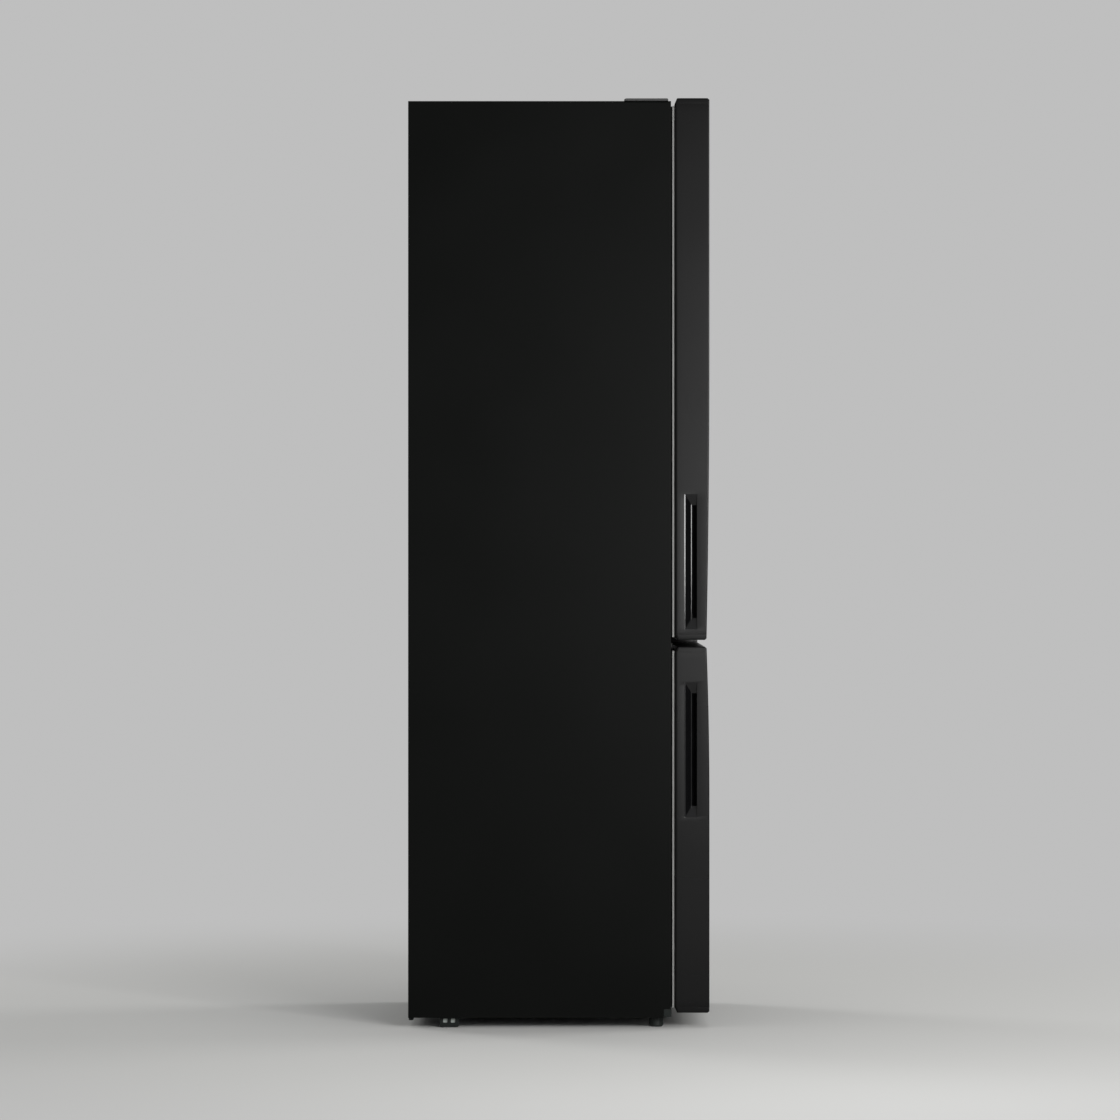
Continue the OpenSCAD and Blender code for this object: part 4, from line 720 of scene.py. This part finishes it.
# Cooked powder lies thick and pebbled: a dull dark surface with a green cast.
painted(
    "rail_paint", "Powder-coated dark green-grey steel", "0f1412", "131816",
    gloss=(0.46, 0.56), peel=3 * MM, depth=0.03 * MM, drift=60 * MM, Specular_IOR_Level=0.18,
)
# A dipped coat is uneven, so the hinge's black is glossy in some places and dull in others.
painted(
    "hinge_black", "Dip-coated black hinge steel", "161616", "1d1d1d",
    gloss=(0.34, 0.46), peel=2.5 * MM, depth=0.02 * MM, drift=40 * MM, Specular_IOR_Level=0.4,
)
# Thick enamel put on with a brush: hard highlights on a wavy black shell.
painted(
    "compressor_paint", "Brushed gloss black enamel", "0b0b0b", "111111",
    gloss=(0.16, 0.3), peel=9 * MM, depth=0.15 * MM, drift=50 * MM, IOR=1.5,
)
print("finishes so far:", len(finishes))

# %% [markdown]
# ## Moulded plastics and rubber
#
# Covers are moulded in an eroded tool, which leaves a leather-like grain of about 0.3 mm, drawn
# at 1.5 to 2 mm. Small cells with a low bump give it, and a slow drift stands for the flow of the
# melt. Rubber is dull and dusty. Nylon and natural polypropylene let a little light in.

# %% A plastic from a grained tool
CELL_SWING = (0.0, 0.8)


def moulded(slot, name, dark, light, gloss, grain, depth, drift, **sockets):
    """Cells grain metres wide lift the surface by depth and roughen it. Slow noise drift metres
    wide runs the colour from dark to light."""
    tree, shader, place = start(slot, name, **sockets)
    cells = add(tree, "TexVoronoi", Vector=place, Scale=1 / grain).outputs["Distance"]
    slow = add(tree, "TexNoise", Vector=place, Scale=1 / drift, Detail=2.0).outputs["Fac"]
    colours = linear(dark), linear(light)
    surface(tree, shader, slow, colours, cells, gloss, cells, depth, CELL_SWING)


print("roughness swings while a cell's distance goes over", CELL_SWING)

# %% Covers, fans, feet, rollers and mounts
# Charcoal with a fine leather grain that breaks up the shine.
moulded(
    "black_plastic", "Injection-moulded black PP, eroded tool", "181818", "1e1e1e",
    gloss=(0.48, 0.58), grain=2 * MM, depth=0.05 * MM, drift=40 * MM, IOR=1.49,
)
# Glass fibres reach the surface and give a dry, slightly mottled grey.
moulded(
    "fan_plastic", "Injection-moulded dark grey PA, glass filled", "2b2d2f", "343638",
    gloss=(0.42, 0.56), grain=1.5 * MM, depth=0.02 * MM, drift=20 * MM, IOR=1.53,
)
# A coarse grain and a dull surface hide the scratches of the floor.
moulded(
    "foot_plastic", "Injection-moulded green-grey PA, coarse grain", "151a17", "1e2321",
    gloss=(0.5, 0.62), grain=1.8 * MM, depth=0.08 * MM, drift=15 * MM, IOR=1.53,
    Specular_IOR_Level=0.3,
)
# Smooth, waxy and pale grey, as acetal is.
moulded(
    "roller_plastic", "Injection-moulded grey POM", "868c88", "969c98",
    gloss=(0.4, 0.52), grain=2 * MM, depth=0.02 * MM, drift=12 * MM, IOR=1.48,
)
# No shine at all, and paler where dust has settled.
moulded(
    "black_rubber", "Pressed black EPDM rubber", "131313", "1c1b1b",
    gloss=(0.64, 0.78), grain=3 * MM, depth=0.05 * MM, drift=14 * MM, IOR=1.52,
)
print("finishes so far:", len(finishes))

# %% Pale plastics
# Smooth and pale, with an even soft shine along the shelf's front.
moulded(
    "trim_plastic", "Injection-moulded pale grey ABS", "c3c8cb", "cbd0d3",
    gloss=(0.3, 0.38), grain=2 * MM, depth=0.004 * MM, drift=70 * MM, IOR=1.54,
)
# Milky: light sinks a little way in, so the edges glow.
moulded(
    "tray_plastic", "Injection-moulded natural PP", "c9ccc7", "d5d6d2",
    gloss=(0.44, 0.56), grain=2 * MM, depth=0.02 * MM, drift=30 * MM, IOR=1.49,
    Subsurface_Weight=0.15, Subsurface_Scale=2 * MM,
)
# Creamy and waxy, with light inside it.
moulded(
    "bush_nylon", "Injection-moulded natural nylon", "d6d4ca", "e1e0d8",
    gloss=(0.35, 0.46), grain=2 * MM, depth=0.01 * MM, drift=8 * MM, IOR=1.53,
    Subsurface_Weight=0.2, Subsurface_Scale=1.5 * MM,
)
# Even white, because the opal lens spreads the light behind it.
moulded(
    "lamp_lens", "Moulded opal PMMA", "f0f0e7", "f8f8f1",
    gloss=(0.28, 0.36), grain=2 * MM, depth=0.01 * MM, drift=12 * MM, IOR=1.49,
    Emission_Color=linear("fffdf4"), Emission_Strength=0.25,
)
print("finishes so far:", len(finishes))

# %% [markdown]
# ## Polished, formed and clear surfaces
#
# Four materials have waves and no grain. The grips come from a polished tool, so the ABS is
# glossy and nearly true black, and only soft ripples of its flow are left. The liners are
# vacuum-formed from glossy polystyrene sheet, which leaves long soft waves where the sheet was
# stretched. The shelves are toughened float glass, which looks green along its edges. The bins
# and drawers are moulded in clear polystyrene: a little bluish, with a higher index, so their
# edges glint. Its flow ripples bend what is seen through them.

# %% Surfaces with one soft wave
def rippled(slot, name, dark, light, gloss, wave, depth, **sockets):
    """One noise, wave metres wide, runs the colour from dark to light and the roughness between
    the values of gloss, and lifts the surface by depth."""
    tree, shader, place = start(slot, name, **sockets)
    flow = add(tree, "TexNoise", Vector=place, Scale=1 / wave, Detail=1.0).outputs["Fac"]
    surface(tree, shader, flow, (linear(dark), linear(light)), flow, gloss, flow, depth)


# Black that shows lamps sharply on its edges and nothing on its slopes.
rippled(
    "grip_gloss", "Injection-moulded black ABS, polished tool", "0b0b0c", "0f0f10",
    gloss=(0.1, 0.14), wave=25 * MM, depth=0.006 * MM, IOR=1.54, Specular_IOR_Level=0.32,
)
# Clean cold white with long soft waves in its shine.
rippled(
    "liner_white", "Vacuum-formed white polystyrene", "dcdfdf", "e3e6e6",
    gloss=(0.26, 0.36), wave=120 * MM, depth=0.1 * MM, IOR=1.59, Specular_IOR_Level=0.4,
)
# Clear from the front and green along the ground edge.
rippled(
    "shelf_glass", "Toughened float glass, ground edge", "d9eee5", "e0f2ec",
    gloss=(0.012, 0.03), wave=90 * MM, depth=0.03 * MM, IOR=1.52, Transmission_Weight=1.0,
)
# Cooler than glass and not quite clear, so bins look faintly blue.
rippled(
    "clear_plastic", "Injection-moulded clear polystyrene", "e0eaef", "ebf2f5",
    gloss=(0.04, 0.09), wave=30 * MM, depth=0.05 * MM, IOR=1.59, Transmission_Weight=0.92,
)
print("finishes so far:", len(finishes))

# %% [markdown]
# ## Seal and foam
#
# The seal is soft grey PVC, pushed through a die, so its fine lines run along it and it hardly
# shines. Noise that is twenty times longer along the frame than across draws them. A painted
# shade darkens the seal within 1 mm of the fold between flange and lip, for the shadow in the
# gap to the cabinet. The foam is free-risen polyurethane: cream, matt, and full of cells, which
# are drawn at 2.5 mm.

# %% Seal and foam
FOLD_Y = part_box("fridge_door_gasket")[0].y + 6.45 * MM
# Painted shade along the seal's fold: full within 0.7 mm of it, none beyond 1 mm.
FOLD_SHADE_FROM, FOLD_SHADE_FULL = 1.0 * MM, 0.7 * MM
LINE_L, LINE_W = 24 * MM, 1.2 * MM

# Dull mid grey, with fine lines along the frame, and painted shade in the fold behind the flange.
tree, shader, place = start(
    "gasket_grey", "Extruded soft grey PVC", IOR=1.54, Specular_IOR_Level=0.35,
)
along = add(tree, "Mapping", Vector=place, Scale=(1 / LINE_L, 1 / LINE_W, 1 / LINE_L))
lines = add(tree, "TexNoise", Vector=along.outputs[0], Scale=1.0, Detail=2.0).outputs["Fac"]
dust = add(tree, "TexNoise", Vector=place, Scale=1 / (45 * MM), Detail=2.0)
pvc_colour = add(
    tree, "Mix", data_type="RGBA", Factor=dust.outputs["Fac"],
    A_Color=linear("888886"), B_Color=linear("929290"),
)
height = add(tree, "SeparateXYZ", Vector=place).outputs["Y"]
above = add(tree, "Math", operation="SUBTRACT", Value=height, Value_001=FOLD_Y)
off_fold = add(tree, "Math", operation="ABSOLUTE", Value=above.outputs[0])
# Painted shade: the colour runs to the dark one within 1 mm of the fold.
painted_fold_shade = add(
    tree, "MapRange", Value=off_fold.outputs[0], From_Min=FOLD_SHADE_FROM, From_Max=FOLD_SHADE_FULL,
)
# The dark colour is painted shade, for the shadow in the gap to the cabinet.
colours = pvc_colour.outputs[2], linear("161615")
surface(tree, shader, painted_fold_shade.outputs[0], colours, lines, (0.52, 0.64), lines, 0.02 * MM)

# Cream and chalky, with a crumb of open cells.
tree, shader, place = start(
    "foam", "Free-risen polyurethane foam", Roughness=0.9, Specular_IOR_Level=0.2,
)
cells = add(tree, "TexVoronoi", Vector=place, Scale=1 / (2.5 * MM)).outputs["Distance"]
rise = add(tree, "TexNoise", Vector=place, Scale=1 / (50 * MM), Detail=2.0).outputs["Fac"]
surface(tree, shader, rise, (linear("dccb8f"), linear("eee4ba")), None, None, cells, 0.6 * MM)
print("finishes so far:", len(finishes))

# %% [markdown]
# ## Zinc and copper
#
# Hot-dip zinc freezes in flat crystals, the spangle, each with its own grey and its own gloss.
# Cells with one random value each give that. Copper tube is bright where it was drawn and browns
# where it has been brazed and handled, so two colours meet in soft patches with detail in them.

# %% Spangle and oxide
WHOLE = (0.0, 1.0)

# Flat crystals, each with its own grey, like frost on a window.
tree, shader, place = start("galvanised", "Hot-dip galvanised steel, spangled", Metallic=1.0)
spangle = add(tree, "TexVoronoi", Vector=place, Scale=1 / (9 * MM)).outputs["Color"]
ripple = add(tree, "TexNoise", Vector=place, Scale=1 / (30 * MM), Detail=1.0).outputs["Fac"]
colours = linear("a5a9ac"), linear("c2c6c8")
surface(tree, shader, spangle, colours, spangle, (0.3, 0.5), ripple, 0.03 * MM, WHOLE)

# Salmon metal that turns dull brown in patches.
tree, shader, place = start("copper", "Drawn copper tube, browned", Metallic=1.0)
brown = add(tree, "TexNoise", Vector=place, Scale=1 / (28 * MM), Detail=4.0).outputs["Fac"]
patch = add(tree, "MapRange", Value=brown, From_Min=0.4, From_Max=0.6).outputs[0]
colours = linear("8a5335"), linear("c68a63")
surface(tree, shader, patch, colours, patch, (0.46, 0.24), brown, 0.02 * MM, WHOLE)
print("finishes so far:", len(finishes))

# %% [markdown]
# ## Drawn and rolled metals
#
# Zinc-plated hinge steel, nickel-plated screws and aluminium fin stock all carry the marks of
# how they were formed: lines that run one way. The same noise, stretched along one axis, gives
# them, with the line width drawn at 1.2 mm or more because the true 0.1 mm can't show. A screw's
# head is struck, not drawn, so its noise isn't stretched.

# %% Metals with lines
def drawn(slot, name, dark, light, gloss, line, along, depth):
    """Noise line metres wide and along times as long on each axis lifts the surface by depth,
    and runs the colour from dark to light and the roughness between the values of gloss."""
    tree, shader, place = start(slot, name, Metallic=1.0)
    scale = [1 / (line * times) for times in along]
    stretched = add(tree, "Mapping", Vector=place, Scale=scale).outputs[0]
    lines = add(tree, "TexNoise", Vector=stretched, Scale=1.0, Detail=2.0).outputs["Fac"]
    surface(tree, shader, lines, (linear(dark), linear(light)), lines, gloss, lines, depth)


# Bright and bluish, with fine lines from the press tool.
drawn(
    "hinge_steel", "Zinc-plated stamped steel", "aeb2b5", "c2c6c9",
    gloss=(0.26, 0.4), line=1.2 * MM, along=(25, 1, 1), depth=0.01 * MM,
)
# Warm, bright heads with small bright and dull spots.
drawn(
    "screw_steel", "Nickel-plated cold-headed steel", "b9b9b4", "cbcbc8",
    gloss=(0.22, 0.36), line=3 * MM, along=(1, 1, 1), depth=0.01 * MM,
)
# Pale sheet with lines up the fins, from the rolls.
drawn(
    "aluminium_fin", "Rolled aluminium fin stock", "c1c5c7", "d1d4d6",
    gloss=(0.28, 0.42), line=1.5 * MM, along=(1, 1, 18), depth=0.01 * MM,
)
print("finishes:", len(finishes), "for", len(set(slots.values())), "slots")

# %% [markdown]
# ## Each finish to its pieces
#
# A new piece names the slot that it takes its finish from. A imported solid's slot is in the
# record. Either way the finish goes into the object's material slots, and nothing else changes.

# %% Dress every piece
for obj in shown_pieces():
    finish = finishes[obj.get("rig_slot") or slots[obj.name]]
    if not obj.data.materials:
        obj.data.materials.append(finish)
    for holder in obj.material_slots:
        holder.material = finish

# %% [markdown]
# ## The studio
#
# The floor is pale and plain. Near the object it is an ordinary matt surface, which keeps the
# shadow. Further out it fades into the backdrop's own brightness, so no horizon shows from any
# side. What the camera, metal and glass see of the backdrop is pale, while the light that the
# backdrop gives is set apart, so that a colour renders as it is written.

# %% Backdrop
BACKDROP, FILL = 0.52, 0.42


def seen_or_fill(tree):
    """The strength that camera, glossy and transmitted rays see, and the one that lights."""
    ray = add(tree, "LightPath").outputs
    direct = add(
        tree, "Math", operation="MAXIMUM",
        Value=ray["Is Camera Ray"], Value_001=ray["Is Glossy Ray"],
    )
    seen = add(
        tree, "Math", operation="MAXIMUM",
        Value=direct.outputs[0], Value_001=ray["Is Transmission Ray"],
    )
    strength = add(tree, "MapRange", Value=seen.outputs[0], To_Min=FILL, To_Max=BACKDROP)
    return strength.outputs["Result"]


world = bpy.data.worlds.new("Backdrop")
bpy.context.scene.world = world
world.use_nodes = True
tree = world.node_tree
tree.nodes.clear()
backdrop = add(tree, "Background", Color=linear("ffffff"), Strength=seen_or_fill(tree))
add(tree, "OutputWorld", Surface=backdrop.outputs[0])
print("backdrop seen and as light:", BACKDROP, FILL)

# %% Floor
FADE = (1.1, 3.0)
FLOOR_RINGS = np.concatenate([np.linspace(0, 20, 21), [30, 45, 60]])
floor_turn = np.linspace(0, 2 * np.pi, 72, endpoint=False)
round_floor = np.stack([np.cos(floor_turn), np.sin(floor_turn), 0 * floor_turn], axis=-1)
floor_vertices, floor_faces = grid_mesh(FLOOR_RINGS[:, None, None] * round_floor, close_v=True)
floor_mesh = bpy.data.meshes.new("floor")
floor_mesh.from_pydata(floor_vertices, [], floor_faces)
floor = linked("floor", floor_mesh)
floor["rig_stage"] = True

paper = bpy.data.materials.new("Matt studio paper")
paper.use_nodes = True
tree = paper.node_tree
tree.nodes.clear()
matt = add(tree, "BsdfDiffuse", Color=linear("c2c2c0"))
glow = add(tree, "Emission", Strength=seen_or_fill(tree))
place = add(tree, "TexCoord").outputs["Object"]
radius = add(tree, "VectorMath", operation="LENGTH", Vector=place)
fade = add(
    tree, "MapRange", interpolation_type="SMOOTHSTEP",
    Value=radius.outputs["Value"], From_Min=FADE[0], From_Max=FADE[1],
)
mixed = add(
    tree, "MixShader", Fac=fade.outputs[0], Shader=matt.outputs[0], Shader_001=glow.outputs[0],
)
add(tree, "OutputMaterial", Surface=mixed.outputs[0])
floor.data.materials.append(paper)
print("floor radius in metres:", FLOOR_RINGS[-1])

# %% [markdown]
# ## Soft lamps
#
# Satin black paint shows little but reflections, so the lamps are placed by what they mirror.
# A softbox stands close to the camera's line, towards the doors: it brightens the doors' side,
# fades along the cabinet and draws the thin lines in the upper grip. Its lower end is where those
# lines fade. A faint one below it lights the lower door. One before the doors keeps their front
# open, and one between the two shows in the round of the doors' front edge. One overhead draws
# the line along the top edge, and one behind lights the rear panel.

# %% Six softboxes
def softbox(name, place, target, width, height, watts):
    """A rectangular lamp at a place that looks at a target, both in metres."""
    lamp = bpy.data.lights.new(name, "AREA")
    lamp.shape = "RECTANGLE"
    lamp.size, lamp.size_y, lamp.energy = width, height, watts
    obj = linked(name, lamp)
    obj.location = place
    look = Vector(target) - Vector(place)
    obj.rotation_euler = look.to_track_quat("-Z", "Y").to_euler()
    obj.visible_camera = False
    print(f"{name}: {width} by {height} m, {watts} W")


softbox("side_softbox", (-3.4, -1.25, 1.39), (0, -0.25, 1.3), 0.9, 0.9, 48)
softbox("low_softbox", (-3.4, -0.65, 0.78), (0, -0.3, 0.78), 0.5, 0.8, 6.5)
softbox("front_softbox", (1.6, -5.0, 2.2), (0, 0, 1.0), 2.0, 2.0, 110)
softbox("edge_softbox", (-4.3, -2.9, 1.72), (0, -0.3, 1.3), 0.6, 1.6, 90)
softbox("top_softbox", (-0.2, -0.3, 5.2), (0, 0, 1.6), 1.4, 1.4, 26)
softbox("rear_softbox", (3.5, 4.5, 2.4), (0, 0, 1.0), 1.8, 1.8, 110)

# %% [markdown]
# ## The camera
#
# The picture was taken square on to the left side, from far off, level with the middle of the
# cabinet. So the camera stands 10 m away and looks along X, with a long lens that fits 2.45 m
# of height.

# %% Camera
DISTANCE, FRAME_HEIGHT = 10.0, 2.445
SENSOR = 36.0
VIEW_Y, VIEW_Z = -2.6 * MM, 1021.6 * MM
camera = bpy.data.cameras.new("camera")
camera.sensor_width = SENSOR
camera.lens = SENSOR * DISTANCE / FRAME_HEIGHT
eye = linked("camera", camera)
eye.location = (-SIDE - DISTANCE, VIEW_Y, VIEW_Z)
eye.rotation_euler = Vector((1, 0, 0)).to_track_quat("-Z", "Y").to_euler()
bpy.context.scene.camera = eye
bpy.context.scene.view_settings.view_transform = "Standard"
print("lens in mm:", round(camera.lens, 1))

# %% [markdown]
# ## Measure and close
#
# The box of the dressed object is measured, and how far it reaches past the imported solids' box
# on each axis is printed. Nothing that we added may reach outside the imported solids.

# %% The two boxes
visual_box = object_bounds()
(low, high), (seen_low, seen_high) = cad_box, visual_box
grown = [max(a - v, w - b, 0) / MM for a, v, w, b in zip(low, seen_low, seen_high, high)]
print("grown in mm:", [round(g, 3) for g in grown])
